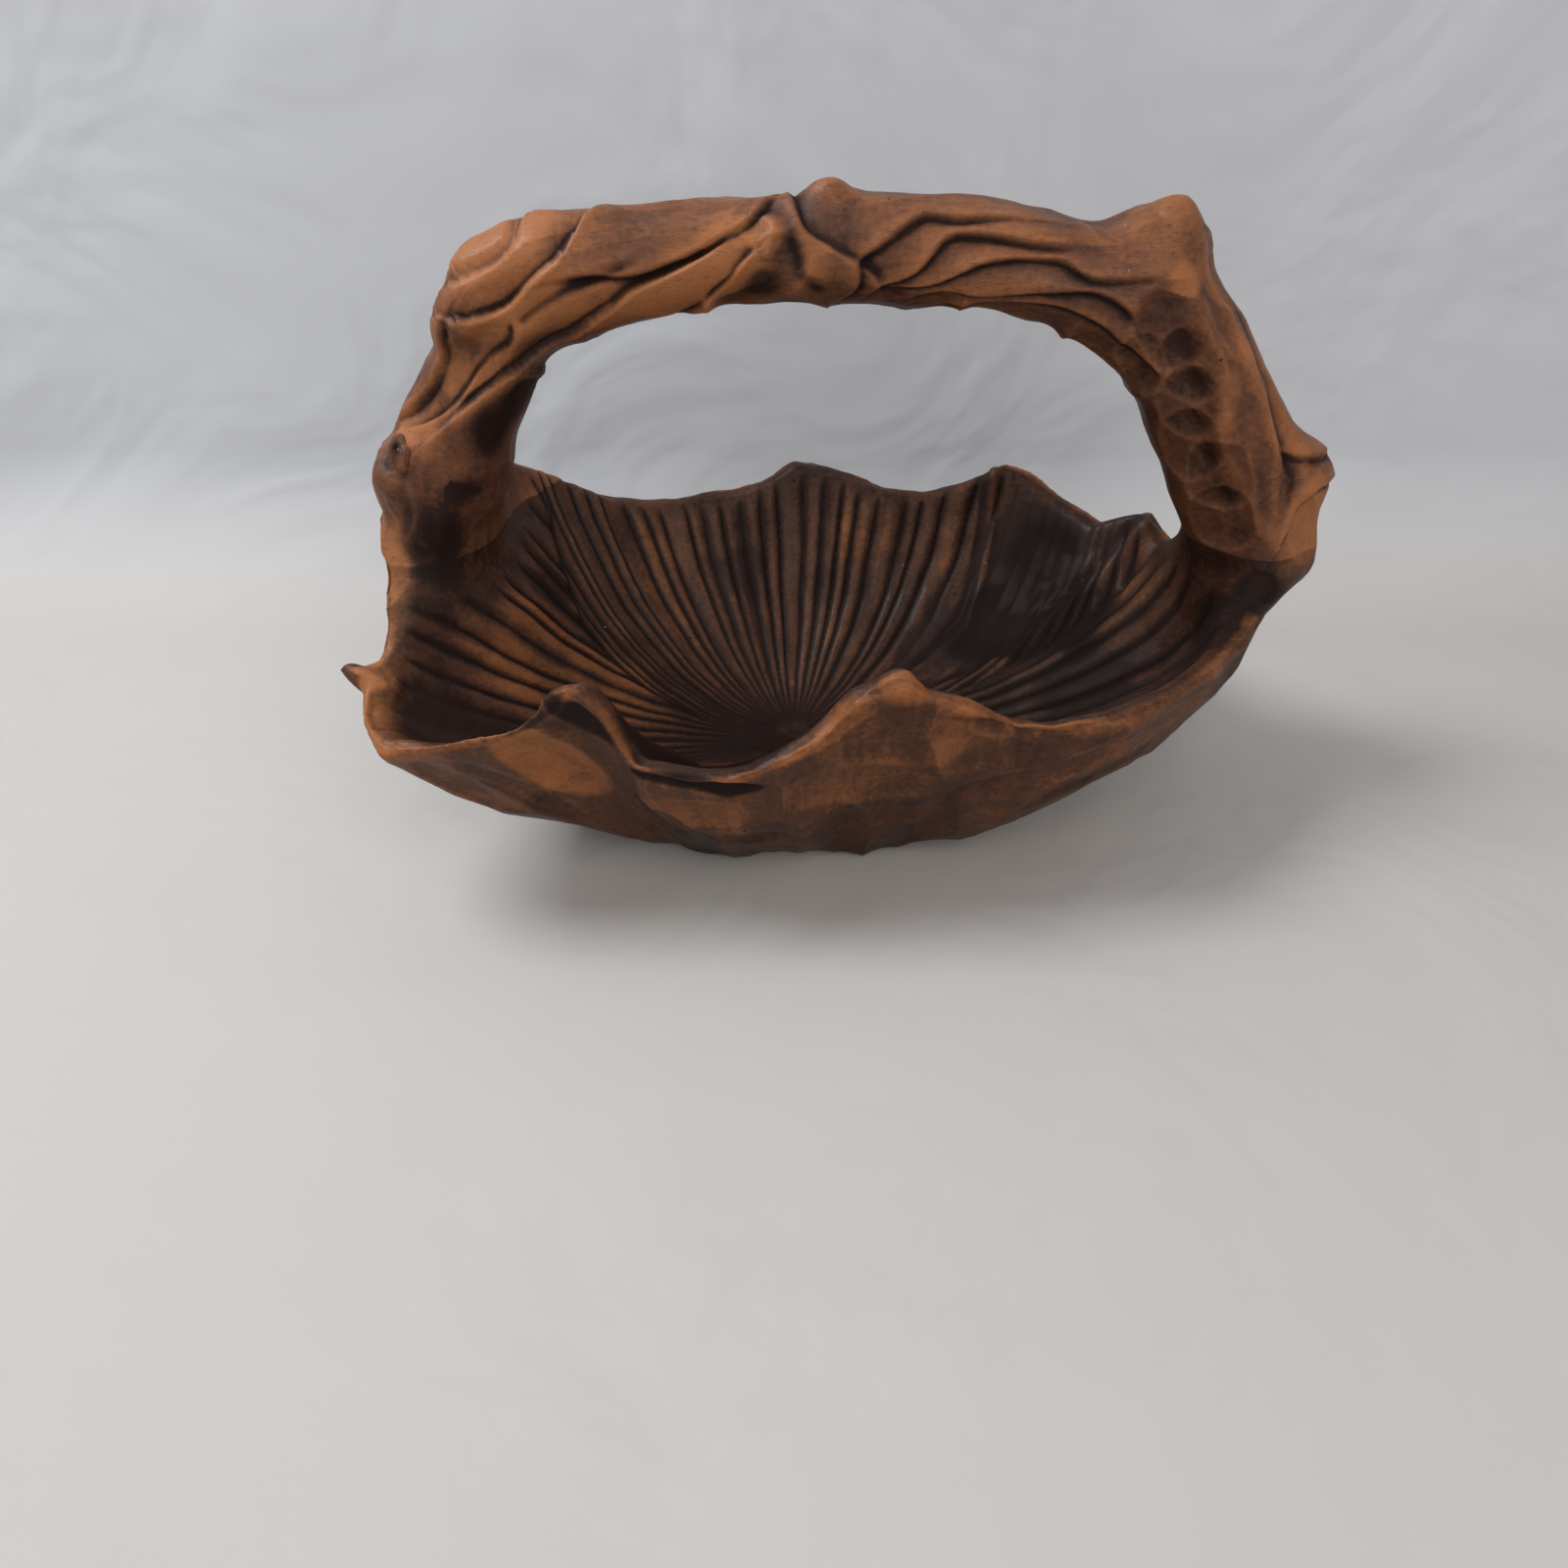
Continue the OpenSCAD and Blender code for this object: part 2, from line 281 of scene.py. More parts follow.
def cloth_material(name, colour, one_sided, foot=None):
    """Pale woven cloth with soft wrinkles; the backdrop is see-through from behind, and takes
    the colour of the floor at its foot."""
    n = Nodes(name)
    n.put(n.shader.inputs["Base Color"], (*colour, 1))
    n.put(n.shader.inputs["Roughness"], 0.75)
    here = n.new("ShaderNodeTexCoord").outputs["Object"]
    n.bump(n.noise(here, 5.5, 3.0, 1.2), 0.35, 0.02)
    if foot:
        height = n.new("ShaderNodeSeparateXYZ")
        n.link(here, height.inputs[0])
        rise = n.new("ShaderNodeMapRange")
        n.put(rise.inputs["From Min"], 0.0)
        n.put(rise.inputs["From Max"], 0.07)
        n.link(height.outputs["Z"], rise.inputs["Value"])
        n.link(n.mix(rise.outputs[0], (*foot, 1), (*colour, 1)), n.shader.inputs["Base Color"])
    if one_sided:
        side = n.new("ShaderNodeNewGeometry").outputs["Backfacing"]
        clear = n.new("ShaderNodeBsdfTransparent").outputs["BSDF"]
        both = n.new("ShaderNodeMixShader")
        for socket, value in zip(both.inputs, (side, n.shader.outputs["BSDF"], clear)):
            n.link(value, socket)
        n.link(both.outputs["Shader"], n.tree.nodes["Material Output"].inputs["Surface"])
    return n.material


def sheet_object(name, rows, material):
    """A strip of quads through rows of [y, z], as wide as the stage."""
    verts = [(x, y, z) for y, z in rows for x in (-STAGE_HALF, STAGE_HALF)]
    faces = [(2 * i, 2 * i + 1, 2 * i + 3, 2 * i + 2) for i in range(len(rows) - 1)]
    mesh = bpy.data.meshes.new(name)
    mesh.from_pydata(verts, [], faces)
    mesh.shade_smooth()
    mesh.materials.append(material)
    placed(name, mesh)


def make_stage():
    ground = -0.0004
    wall = 0.215           # the backdrop stands close behind the bowl
    bend = 0.08
    floor = [(-STAGE_HALF, ground), (STAGE_HALF, ground)]
    pale = (0.50, 0.475, 0.45)
    sheet_object("floor", floor, cloth_material("floor_cloth", pale, False))
    back = []
    for k in range(13):
        a = math.radians(90 * k / 12)
        back.append((wall - bend + bend * math.sin(a), ground + 0.0003 + bend * (1 - math.cos(a))))
    back.append((wall + 0.05, 1.6))
    sheet_object("backdrop", back, cloth_material("backdrop_cloth", (0.61, 0.625, 0.655), True, pale))


def area_light(name, place, target, size, energy, colour):
    data = bpy.data.lights.new(name, "AREA")
    data.shape = "DISK"
    data.size = size
    data.energy = energy
    data.color = colour
    lamp = placed(name, data)
    lamp.location = place
    way = Vector(target) - Vector(place)
    lamp.rotation_euler = way.to_track_quat("-Z", "Y").to_euler()


def make_camera_and_lights():
    scene = bpy.context.scene
    data = bpy.data.cameras.new("camera")
    data.lens = 26
    data.sensor_width = 36
    data.clip_start = 0.01
    camera = placed("camera", data)
    camera.location = (-0.005, -0.452, 0.346)
    camera.rotation_euler = (math.radians(90 - 38.3), 0, 0)
    scene.camera = camera
    scene.view_settings.view_transform = "Standard"
    scene.view_settings.look = "None"

    area_light("window", (-0.75, 0.10, 1.25), (0, 0, 0.1), 0.7, 18, (0.94, 0.97, 1.0))
    area_light("room", (0.35, -1.1, 1.0), (0, 0, 0.1), 1.4, 9, (1.0, 0.93, 0.86))
    world = bpy.data.worlds.new("world")
    world.use_nodes = True
    world.node_tree.nodes["Background"].inputs["Color"].default_value = (0.82, 0.86, 0.92, 1)
    world.node_tree.nodes["Background"].inputs["Strength"].default_value = 0.42
    scene.world = world


# ---------------------------------------------------------------- the block

def node_arrays(name):
    """A CAD node's points in mm and its triangles."""
    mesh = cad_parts[name].data
    mesh.calc_loop_triangles()
    points = values_of(mesh.vertices, "co", 3, np.float32)
    corners = values_of(mesh.loop_triangles, "vertices", 3, np.int32)
    return points / MM, corners.astype(np.uint32)


def grid_axes(wood, start):
    """Where the cells of the block lie along each axis, in mm."""
    return [(np.arange(n) + s) * VOXEL for n, s in zip(wood.shape, start)]


def fused_block():
    """How much of each cell is wood, from 0 to 1, over a grid round all the CAD nodes."""
    margin = 12
    parts = {name: node_arrays(name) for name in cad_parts}
    low = np.min([points.min(0) for points, _ in parts.values()], axis=0)
    high = np.max([points.max(0) for points, _ in parts.values()], axis=0)
    start = np.floor(low / VOXEL).astype(int) - margin
    size = np.ceil(high / VOXEL).astype(int) + margin - start
    wood = np.zeros(size, np.float32)
    spacing = vdb.createLinearTransform(VOXEL)
    for points, corners in parts.values():
        grid = vdb.FloatGrid.createLevelSetFromPolygons(
            points, triangles=corners, transform=spacing, halfWidth=float(BAND))
        a = np.floor(points.min(0) / VOXEL).astype(int) - BAND - 1
        b = np.ceil(points.max(0) / VOXEL).astype(int) + BAND + 2
        depth = np.empty(b - a, np.float32)
        grid.copyToArray(depth, ijk=tuple(int(i) for i in a))
        part = tuple(slice(int(i), int(j)) for i, j in zip(a - start, b - start))
        wood[part] += np.clip(0.5 - depth / VOXEL, 0, 1)
    axes = grid_axes(wood, start)
    x, y, z = np.meshgrid(*axes, indexing="ij", sparse=True)
    for upper, wide, lower, narrow in ROOTS:
        top = np.array(upper, float)
        way = np.array(lower, float) - top
        share = ((x - top[0]) * way[0] + (y - top[1]) * way[1] + (z - top[2]) * way[2]) / (way @ way)
        share = np.clip(share, 0, 1).astype(np.float32)
        away = np.sqrt((x - top[0] - share * way[0]) ** 2 + (y - top[1] - share * way[1]) ** 2
                       + (z - top[2] - share * way[2]) ** 2)
        added = np.clip(0.5 - (away - wide - share * (narrow - wide)) / VOXEL, 0, 1)
        np.maximum(wood, added * inside_wall(x, y, z), out=wood)
    return np.minimum(wood, 1.0), start


def inside_wall(x, y, z):
    """1 inside the oval that the bowl's outer wall stays within, 0 outside it."""
    oval = np.sqrt((x / np.where(x > 0, 204.0, 171.0)) ** 2 + (y / 112.0) ** 2)
    return ramp(oval + 0.0 * z, 1.0, 0.985).astype(np.float32)


def blurred(field, width):
    """Gaussian blur with a standard deviation of width mm."""
    sigma = width / VOXEL
    reach = int(math.ceil(2.6 * sigma))
    kernel = np.exp(-0.5 * (np.arange(-reach, reach + 1) / sigma) ** 2)
    kernel /= kernel.sum()
    for axis in range(3):
        n = field.shape[axis]
        pad = [(0, 0)] * 3
        pad[axis] = (reach, reach)
        wide = np.pad(field, pad, mode="edge")
        total = np.zeros_like(field)
        for k, weight in enumerate(kernel):
            part = [slice(None)] * 3
            part[axis] = slice(k, k + n)
            total += np.float32(weight) * wide[tuple(part)]
        field = total
    return field


def softened_block(wood, start):
    """Rounds every edge a little, and fills the hollow corners round the swellings and roots."""
    soft = blurred(wood, 1.35)
    axes = grid_axes(wood, start)
    for root, reach, width in FILLETS:
        lo = [int(np.searchsorted(ax, c - reach - 20)) for ax, c in zip(axes, root)]
        hi = [int(np.searchsorted(ax, c + reach + 20)) for ax, c in zip(axes, root)]
        part = tuple(slice(a, b) for a, b in zip(lo, hi))
        x, y, z = np.meshgrid(*[ax[a:b] for ax, a, b in zip(axes, lo, hi)], indexing="ij", sparse=True)
        away = np.sqrt((x - root[0]) ** 2 + (y - root[1]) ** 2 + (z - root[2]) ** 2)
        weight = ramp(away, reach, reach * 0.5).astype(np.float32)
        broad = blurred(wood[part], width) + 0.11
        soft[part] += weight * np.maximum(broad - soft[part], 0)
    return np.minimum(soft, 1.0)


def skin_of(soft, start):
    """The surface of the block as points in mm and quads."""
    grid = vdb.FloatGrid(0.5)
    grid.copyFromArray(0.5 - soft, ijk=tuple(int(i) for i in start), tolerance=0.0)
    grid.transform = vdb.createLinearTransform(VOXEL)
    points, quads = grid.convertToQuads(0.0)
    quads = quads.astype(np.int64)
    a, b, c = points[quads[:, 0]], points[quads[:, 1]], points[quads[:, 2]]
    if np.einsum("ij,ij->i", np.cross(a.astype(float), b.astype(float)), c.astype(float)).sum() < 0:
        quads = quads[:, ::-1]
    return points.astype(np.float64), quads


def edges_of(quads):
    pairs = np.concatenate([quads[:, [i, (i + 1) % 4]] for i in range(4)])
    pairs.sort(axis=1)
    key = np.unique(pairs[:, 0] * (quads.max() + 1) + pairs[:, 1])
    return np.stack([key // (quads.max() + 1), key % (quads.max() + 1)], axis=1)


def relaxed(values, edges, amount, times):
    """Moves each row of values towards the mean of its neighbours."""
    n = len(values)
    ends = np.concatenate([edges[:, 0], edges[:, 1]])
    others = np.concatenate([edges[:, 1], edges[:, 0]])
    order = np.argsort(ends, kind="stable")
    others = others[order]
    starts = np.searchsorted(ends[order], np.arange(n))
    count = np.bincount(ends, minlength=n)[:, None]
    for _ in range(times):
        for step in (amount if isinstance(amount, tuple) else (amount,)):
            mean = np.add.reduceat(values[others], starts, axis=0) / count
            values = values + step * (mean - values)
    return values


def normals_of(points, quads):
    across = np.cross(points[quads[:, 2]] - points[quads[:, 0]], points[quads[:, 3]] - points[quads[:, 1]])
    total = np.zeros_like(points)
    for axis in range(3):
        for corner in range(4):
            total[:, axis] += np.bincount(quads[:, corner], across[:, axis], len(points))
    return total / np.maximum(np.linalg.norm(total, axis=1, keepdims=True), 1e-12)


def subdivided(points, quads, edges):
    """Splits each quad into four, then evens the points out."""
    n, m = len(points), len(edges)
    width = n + 1
    keys = edges[:, 0] * width + edges[:, 1]
    middles = []
    for i in range(4):
        pair = np.sort(quads[:, [i, (i + 1) % 4]], axis=1)
        middles.append(n + np.searchsorted(keys, pair[:, 0] * width + pair[:, 1]))
    centre = n + m + np.arange(len(quads))
    quarters = [np.stack([quads[:, i], middles[i], centre, middles[i - 1]], axis=1) for i in range(4)]
    every = np.concatenate([points, points[edges].mean(1), points[quads].mean(1)])
    fine = np.concatenate(quarters)
    fine_edges = edges_of(fine)
    every = relaxed(every, fine_edges, SMOOTHING, 3)
    return every, fine, fine_edges


# ---------------------------------------------------------------- where a point lies

class Places:
    """Coordinates of every point of the skin on the bowl and on the handle."""

    def __init__(self, points, normals):
        self.points = points
        self.normals = normals
        x, y, z = points.T
        self.x, self.y, self.z = x, y, z
        self.angle = np.degrees(np.arctan2(y, x)) % 360
        self.reach = np.hypot(x, y)
        self.find_handle()
        self.find_bowl()

    def find_handle(self):
        """Position along the handle in mm from the crown, and angle round it from the front."""
        line = along_curve(ARCH, 8)
        flat = line[:, [0, 2]]
        run = np.concatenate([[0], np.cumsum(np.linalg.norm(np.diff(flat, axis=0), axis=1))])
        run -= run[np.argmin(np.abs(line[:, 0]))]
        here = np.stack([self.x, self.z], axis=1)
        nearest = np.zeros(len(here), int)
        for i in range(0, len(here), 50000):
            part = here[i:i + 50000]
            nearest[i:i + 50000] = ((part[:, None, :] - flat[None]) ** 2).sum(2).argmin(1)
        way = flat[np.minimum(nearest + 1, len(flat) - 1)] - flat[np.maximum(nearest - 1, 0)]
        way /= np.linalg.norm(way, axis=1, keepdims=True)
        rel = here - flat[nearest]
        out = rel[:, 1] * way[:, 0] - rel[:, 0] * way[:, 1]
        side = -(self.y - line[nearest, 1])
        self.run = run[nearest] + (rel * way).sum(1)
        self.turn = np.degrees(np.arctan2(out / line[nearest, 3], side / line[nearest, 4]))
        size = np.hypot(out / line[nearest, 3], side / line[nearest, 4])
        self.on_handle = ramp(size, 1.75, 1.3) * ramp(self.z, 92, 120)
        self.on_handle = np.maximum(self.on_handle, ramp(self.z, 150, 165))

    def find_bowl(self):
        """Height and reach of the rim at every angle, and how far below it each point lies."""
        bins = 120
        slot = (self.angle / 360 * bins).astype(int) % bins
        off = self.on_handle < 0.3
        top = np.zeros(bins)
        rim = np.zeros(bins)
        for k in range(bins):
            mine = off & (slot == k)
            if not mine.any():
                mine = (slot == k) & (self.z < LEG_CUT)
            top[k] = self.z[mine].max()
            crown = mine & (self.z > top[k] - 2.0)
            rim[k] = self.reach[crown].mean()
        turn = self.angle / 360
        grid = (np.arange(bins) + 0.5) / bins
        self.rim_height = np.interp(turn, grid, top, period=1)
        self.rim_reach = np.interp(turn, grid, rim, period=1)
        to_focus = BOWL_FOCUS - self.points
        to_focus /= np.linalg.norm(to_focus, axis=1, keepdims=True)
        facing = (to_focus * self.normals).sum(1)
        below = ramp(self.z, LEG_CUT + 24, LEG_CUT - 10)
        self.inside = ramp(facing, 0.16, 0.42) * below
        self.outside = ramp(facing, 0.02, -0.22) * (1 - self.on_handle)
        self.drop = np.hypot(self.rim_reach - self.reach, self.rim_height - self.z)


# ---------------------------------------------------------------- carving

class Carving:
    """Heights over the skin in mm, with the tints that go with them."""

    def __init__(self, places):
        n = len(places.points)
        self.p = places
        self.height = np.zeros(n)
        self.dark = np.zeros(n)       # stain left in the cuts, with painted shade in grooves, hollows and undercuts and on the inner side of the left leg
        self.warm = np.zeros(n)       # bare orange wood and wear, with painted highlight on crests
        self.flow = np.zeros((n, 3))  # mm across and along the strokes
        self.middle = places.points.copy()   # where the tint of each point is taken from

    def add(self, height, mask=1.0):
        self.height += height * mask

    def tint_by_cut(self, number, mask, share):
        """Lets the points of one cut share the tint at its middle, so that cuts have crisp edges."""
        own = np.nonzero(mask > 0.5)[0]
        count = np.maximum(np.bincount(number[own], minlength=number.max() + 1), 1)
        for axis in range(3):
            mean = np.bincount(number[own], self.p.points[own, axis], len(count)) / count
            self.middle[own, axis] += share * (mean[number[own]] - self.middle[own, axis])


def rib_angle(p):
    """The angle at which the rib through each point starts at the middle of the bowl."""
    start = p.angle.copy()
    swing = (p.reach / 130.0) ** 1.5
    for _ in range(5):
        off = (start - 90 + 180) % 360 - 180
        bend = -np.sign(off) * 16.0 * np.minimum(np.abs(off) / 73.0, 1.45) ** 1.3
        start = p.angle - bend * swing
    return start


# Where the ribs of the left lobe meet those of the back lobe, and the two long creases
# inside the bowl: reach from the middle in mm, and angle
LOBE_SEAM = ([0, 52, 79, 97, 108, 122, 133, 170], [184, 182, 180, 176, 169, 160, 158, 150])
CREASES = [
    ([0, 70, 107, 139, 160], [30, 30, 33, 42.5, 50]),
    ([0, 77, 97, 131, 179], [16, 16.5, 16, 20, 19]),
]


def carve_ribs(c):
    p = c.p
    # the left lobe's ribs meet the back lobe's along a curved seam
    seam = np.interp(p.reach, *LOBE_SEAM)
    side = (p.angle - seam + 180) % 360 - 180
    left = (side > 0) & (p.angle < 262)
    back = rib_angle(p)
    lean = np.interp(p.angle, [146, 170, 190, 200, 215], [30, 20, 11, 5, 0])
    lobe = p.angle - lean * (p.reach / 160) ** 1.5
    start = np.where(left, lobe, back)
    start = np.where((p.angle < 12) | (p.angle > 255), p.angle - 2, start)
    turn = start / 360
    # the ribs stand closer together in the lobes at the two ends
    places = np.array([-100, -60, -20, 12, 28, 158, 176, 250, 260])
    closeness = np.array([60, 70, 82, 80, 54, 54, 86, 80, 60])
    fine = np.arange(-100, 261, 1.0)
    many = np.cumsum(np.interp(fine, places, closeness)) / 360
    many *= round(many[-1]) / many[-1]
    count = np.interp(start, places, closeness, period=360)
    phase = np.interp((start + 100) % 360 - 100, fine, many)
    phase = phase + 0.25 * wave(turn, 61, 5) + 0.12 * noise(p.points, 26, 6)
    cell = phase - np.floor(phase)
    ridge = np.abs(np.sin(np.pi * cell)) ** 0.62
    number = np.floor(phase).astype(int) % 64
    random = np.random.default_rng(11).uniform(0, 1, (64, 3))[number]
    spacing = 2 * np.pi * p.reach / count
    depth = np.minimum(2.3, 0.26 * spacing) * (0.75 + 0.5 * random[:, 0])
    depth *= ramp(p.reach, 7, 20)
    fade = ramp(p.drop, 3, 15)
    pocket = ramp(p.angle, 196, 206) * ramp(p.angle, 246, 236) * ramp(p.z, 40, 52)
    smooth_dark = ramp(p.angle, 17, 24) * ramp(p.angle, 46, 40) * ramp(p.reach, 55, 80)
    front = ramp(p.angle, 200, 215) * ramp(p.angle, 345, 335) * ramp(p.drop, 24, 12)
    leg = ramp(p.on_handle, 0.15, 0.6)
    mask = p.inside * fade * (1 - 0.92 * pocket) * (1 - 0.75 * smooth_dark)
    mask = mask * (1 - 0.9 * front) * (1 - 0.8 * leg)
    c.add(depth * (ridge - 0.72), mask)
    groove = np.exp(-(np.minimum(cell, 1 - cell) * spacing / 1.5) ** 2)
    # stain and painted shade in the grooves between the ribs
    c.dark += 0.52 * groove * mask * ramp(p.reach, 4, 12)
    # painted highlight on the crests of the ribs, together with wear
    crest = ramp(ridge, 0.7, 0.98) * mask
    c.warm += crest * (0.05 + 0.18 * random[:, 1])
    c.flow[:, 0] += p.inside * phase * 9
    c.flow[:, 1] += p.inside * p.reach
    # the seams between the lobes
    step = np.tanh(side / 1.2) * np.exp(-np.abs(side) / 4.5)
    on_seam = p.inside * ramp(p.reach, 40, 60) * ramp(p.angle, 205, 195) * ramp(p.angle, 140, 150)
    c.add(1.5 * step * on_seam * ramp(p.drop, 4, 14))
    # stain and painted shade along the seam between the lobes
    c.dark += 0.7 * np.exp(-(side / 1.6) ** 2) * on_seam
    for path in CREASES:
        off = (p.angle - np.interp(p.reach, *path)) * p.reach * np.pi / 180
        near = p.inside * ramp(p.reach, 30, 60)
        c.add((1.9 * np.exp(-(off / 4.0) ** 2) - 1.0 * np.exp(-((off - 6) / 3.0) ** 2)) * near)
        # stain and painted shade in the trough beside each crease
        c.dark += 0.5 * np.exp(-((off - 6) / 3.0) ** 2) * near
    # broad flat cuts in the pocket at the left front corner
    fan = (p.angle - 197) / 17.0
    part = fan - np.floor(fan)
    c.add(4.0 * (np.abs(part - 0.5) * 2) ** 1.5 - 1.6, pocket * p.inside)
    # painted shade in the pocket below the rim
    c.warm -= 0.30 * pocket * p.inside * ramp(p.drop, 7, 12)
    c.warm -= 0.06 * p.inside


def carve_outside(c):
    p = c.p
    cuts = 26
    turns = p.angle / 360
    up = p.z / 46 + 0.35 * wave(turns, 31, 21)
    best, edge, tint, number = gouge_cells(turns * cuts + 0.6 * (p.z / 100), up, 23, cuts)
    mask = p.outside * ramp(p.drop, 1, 7)
    c.add(5.6 * (np.minimum(best, 1.2) - 0.33), mask)
    c.dark += 0.16 * np.exp(-(edge / 0.07) ** 2) * mask
    c.warm += 0.34 * (tint - 0.36) * mask
    c.tint_by_cut(number, p.outside, 0.85)
    c.flow[:, 0] += p.outside * p.angle / 360 * 700
    c.flow[:, 1] += p.outside * p.z


def carve_rim(c):
    """The top of the wall is cut by short flat strokes."""
    p = c.p
    top = (1 - p.inside) * (1 - p.outside) * (1 - p.on_handle) * ramp(p.drop, 16, 8)
    turns = p.angle / 360
    c.add(0.9 * wave(turns, 97, 31) + 0.5 * wave(turns, 41, 32), top)
    worn = np.maximum(top, p.outside * ramp(p.drop, 10, 5))
    c.warm += worn * (0.34 + 0.20 * wave(turns, 53, 33))


# Strokes of the handle: [kind, height, width, points as (mm along from the crown, degrees
# round from the front)]. A step stands up on the left of its line and is undercut on the right.
STROKES = [
    ["step", 3.6, 9, [(-66, 100), (-74, 66), (-81, 36), (-88, 24), (-104, 14), (-117, 24), (-123, 44)]],
    ["groove", 2.2, 2.5, [(-92, 100), (-94, 64), (-101, 51), (-112, 56), (-120, 74)]],
    ["step", 2.8, 8, [(-89, 14), (-74, 9), (-56, 4), (-32, 25), (-15, 52), (-8, 80)]],
    ["step", 3.6, 9, [(-20, 44), (-32, 19), (-47, 1), (-60, -10), (-72, -28), (-90, -44), (-106, -44),
                      (-119, -38), (-132, -22), (-141, -7), (-153, 7), (-166, 20)]],
    ["step", 2.2, 7, [(-106, 4), (-114, -13), (-132, -1), (-150, 14), (-170, 52)]],
    ["groove", 1.6, 2.2, [(-60, 14), (-84, 2), (-108, -4)]],
    ["step", 2.4, 6, [(-170, 62), (-140, 42), (-122, 42)]],
    ["step", 2.6, 7, [(-14, 19), (-19, 8), (-26, -16), (-36, -46), (-46, -75)]],
    ["hollow", 3.0, 11, [(-6, 4), (-12, -18), (-24, -40)]],
    ["ridge", 3.2, 5, [(-13, 56), (-8, 40), (-10, 22), (-11, 5)]],
    ["step", 2.6, 9, [(30, -25), (28, -10), (21, 4), (12, 18), (4, 34), (1, 52), (-2, 88), (-4, 120)]],
    ["groove", 1.2, 3, [(-3, 40), (0, 10), (2, -12), (10, -34)]],
    ["step", 2.8, 8, [(14, -60), (22, -20), (23, 4), (31, 21), (42, 44), (47, 49), (58, 46), (80, 60)]],
    ["step", 2.8, 8, [(26, -44), (30, -25), (43, -8), (53, 26), (62, 32), (82, 33), (100, 44)]],
    ["step", 2.6, 8, [(30, -32), (48, -22), (58, -9), (69, 7), (92, 24), (101, 17), (110, 17), (130, 35)]],
    ["step", 2.4, 7, [(40, -50), (54, -31), (71, -29), (96, -8), (108, 3), (121, 1), (130, -9)]],
    ["step", 2.2, 7, [(56, -62), (72, -44), (99, -24), (119, -24), (139, -32), (157, -28)]],
    ["ridge", 2.6, 6, [(130, 40), (146, 26), (157, 21), (177, 9), (190, -8), (205, -9),
                       (222, -6), (246, -4)]],
    ["ridge", 3.0, 5, [(128, 74), (140, 64), (158, 56), (180, 38), (201, 34), (222, 14), (244, -2)]],
    ["groove", 1.4, 3, [(150, 84), (180, 62), (204, 52), (230, 28)]],
    ["hollow", 4.2, 11, [(136, 10), (147, 0)]],
    ["hollow", 4.0, 10, [(152, -2), (163, -8)]],
    ["hollow", 4.6, 11, [(166, -20), (176, -26)]],
    ["hollow", 4.4, 11, [(184, -36), (194, -40)]],
    ["hollow", 4.4, 11, [(200, -22), (212, -26)]],
    ["hollow", 3.6, 11, [(222, -34), (232, -36)]],
    ["hollow", 3.0, 9, [(138, -30), (150, -44)]],
    ["step", 2.4, 7, [(212, 42), (222, 58), (228, 80)]],
    ["step", 2.2, 8, [(247, 6), (236, 30), (232, 50), (238, 76)]],
]


def carve_stroke(c, kind, height, width, line, near):
    """Adds one stroke to the points of the handle."""
    p = c.p
    across = GIRTH * np.pi / 180
    route = along_curve(np.array([[s, a * across] for s, a in line], float), 5)
    here = np.stack([p.run[near], p.turn[near] * across], axis=1)
    reach = 2.6 * width
    close = ((here > route.min(0) - reach) & (here < route.max(0) + reach)).all(1)
    near, here = near[close], here[close]
    best = np.full(len(here), 1e9)
    signed = np.zeros(len(here))
    share = np.zeros(len(here))
    for k in range(len(route) - 1):
        way = route[k + 1] - route[k]
        rel = here - route[k]
        t = np.clip((rel @ way) / (way @ way), 0, 1)
        gap = rel - t[:, None] * way
        d = np.hypot(gap[:, 0], gap[:, 1])
        closer = d < best
        best = np.where(closer, d, best)
        side = np.sign(way[0] * rel[:, 1] - way[1] * rel[:, 0])
        signed = np.where(closer, side * d, signed)
        share = np.where(closer, (k + t) / (len(route) - 1), share)
    ends = 0.25 + 0.75 * ramp(share, 0, 0.15) * ramp(share, 1, 0.85)
    if kind == "step":
        up = np.exp(-np.abs(signed) / width) * (signed > 0) * 0.55
        down = np.exp(-np.abs(signed) / (0.8 * width)) * (signed <= 0) * -0.85
        shape = (up + down) * ramp(np.abs(signed), -0.3, 1.3)
        # painted shade on the undercut side of the step, and painted highlight along its raised edge
        shade = 0.34 * np.exp(-np.maximum(-signed, 0) / 6.5) + 0.22 * np.exp(-np.maximum(-signed, 0) / 1.8)
        c.dark[near] += shade * ramp(signed, 1.2, -0.4) * ends
        c.warm[near] += 0.12 * np.exp(-((signed - 3.0) / 3.0) ** 2) * ends
    elif kind == "groove":
        shape = -np.exp(-(best / width) ** 2)
        # stain and painted shade in the groove
        c.dark[near] += 0.45 * np.exp(-(best / (1.1 * width)) ** 2) * ends
    elif kind == "ridge":
        shape = np.exp(-np.abs(signed) / (0.7 * width)) * ramp(np.abs(signed), -2.5, 1.0) * 0.8
        # painted highlight along the crest of the ridge and painted shade at its foot
        c.warm[near] += 0.08 * np.exp(-(best / 1.6) ** 2) * ends
        c.dark[near] += 0.20 * np.exp(-((best - width) / 3) ** 2) * ends
    else:
        shape = -np.maximum(1 - (best / width) ** 2, 0) ** 0.8
        # stain and painted shade in the hollow
        c.dark[near] += 0.14 * np.maximum(1 - (best / width) ** 2, 0)
        ends = np.ones(len(here))
    c.height[near] += height * shape * ends * p.on_handle[near]


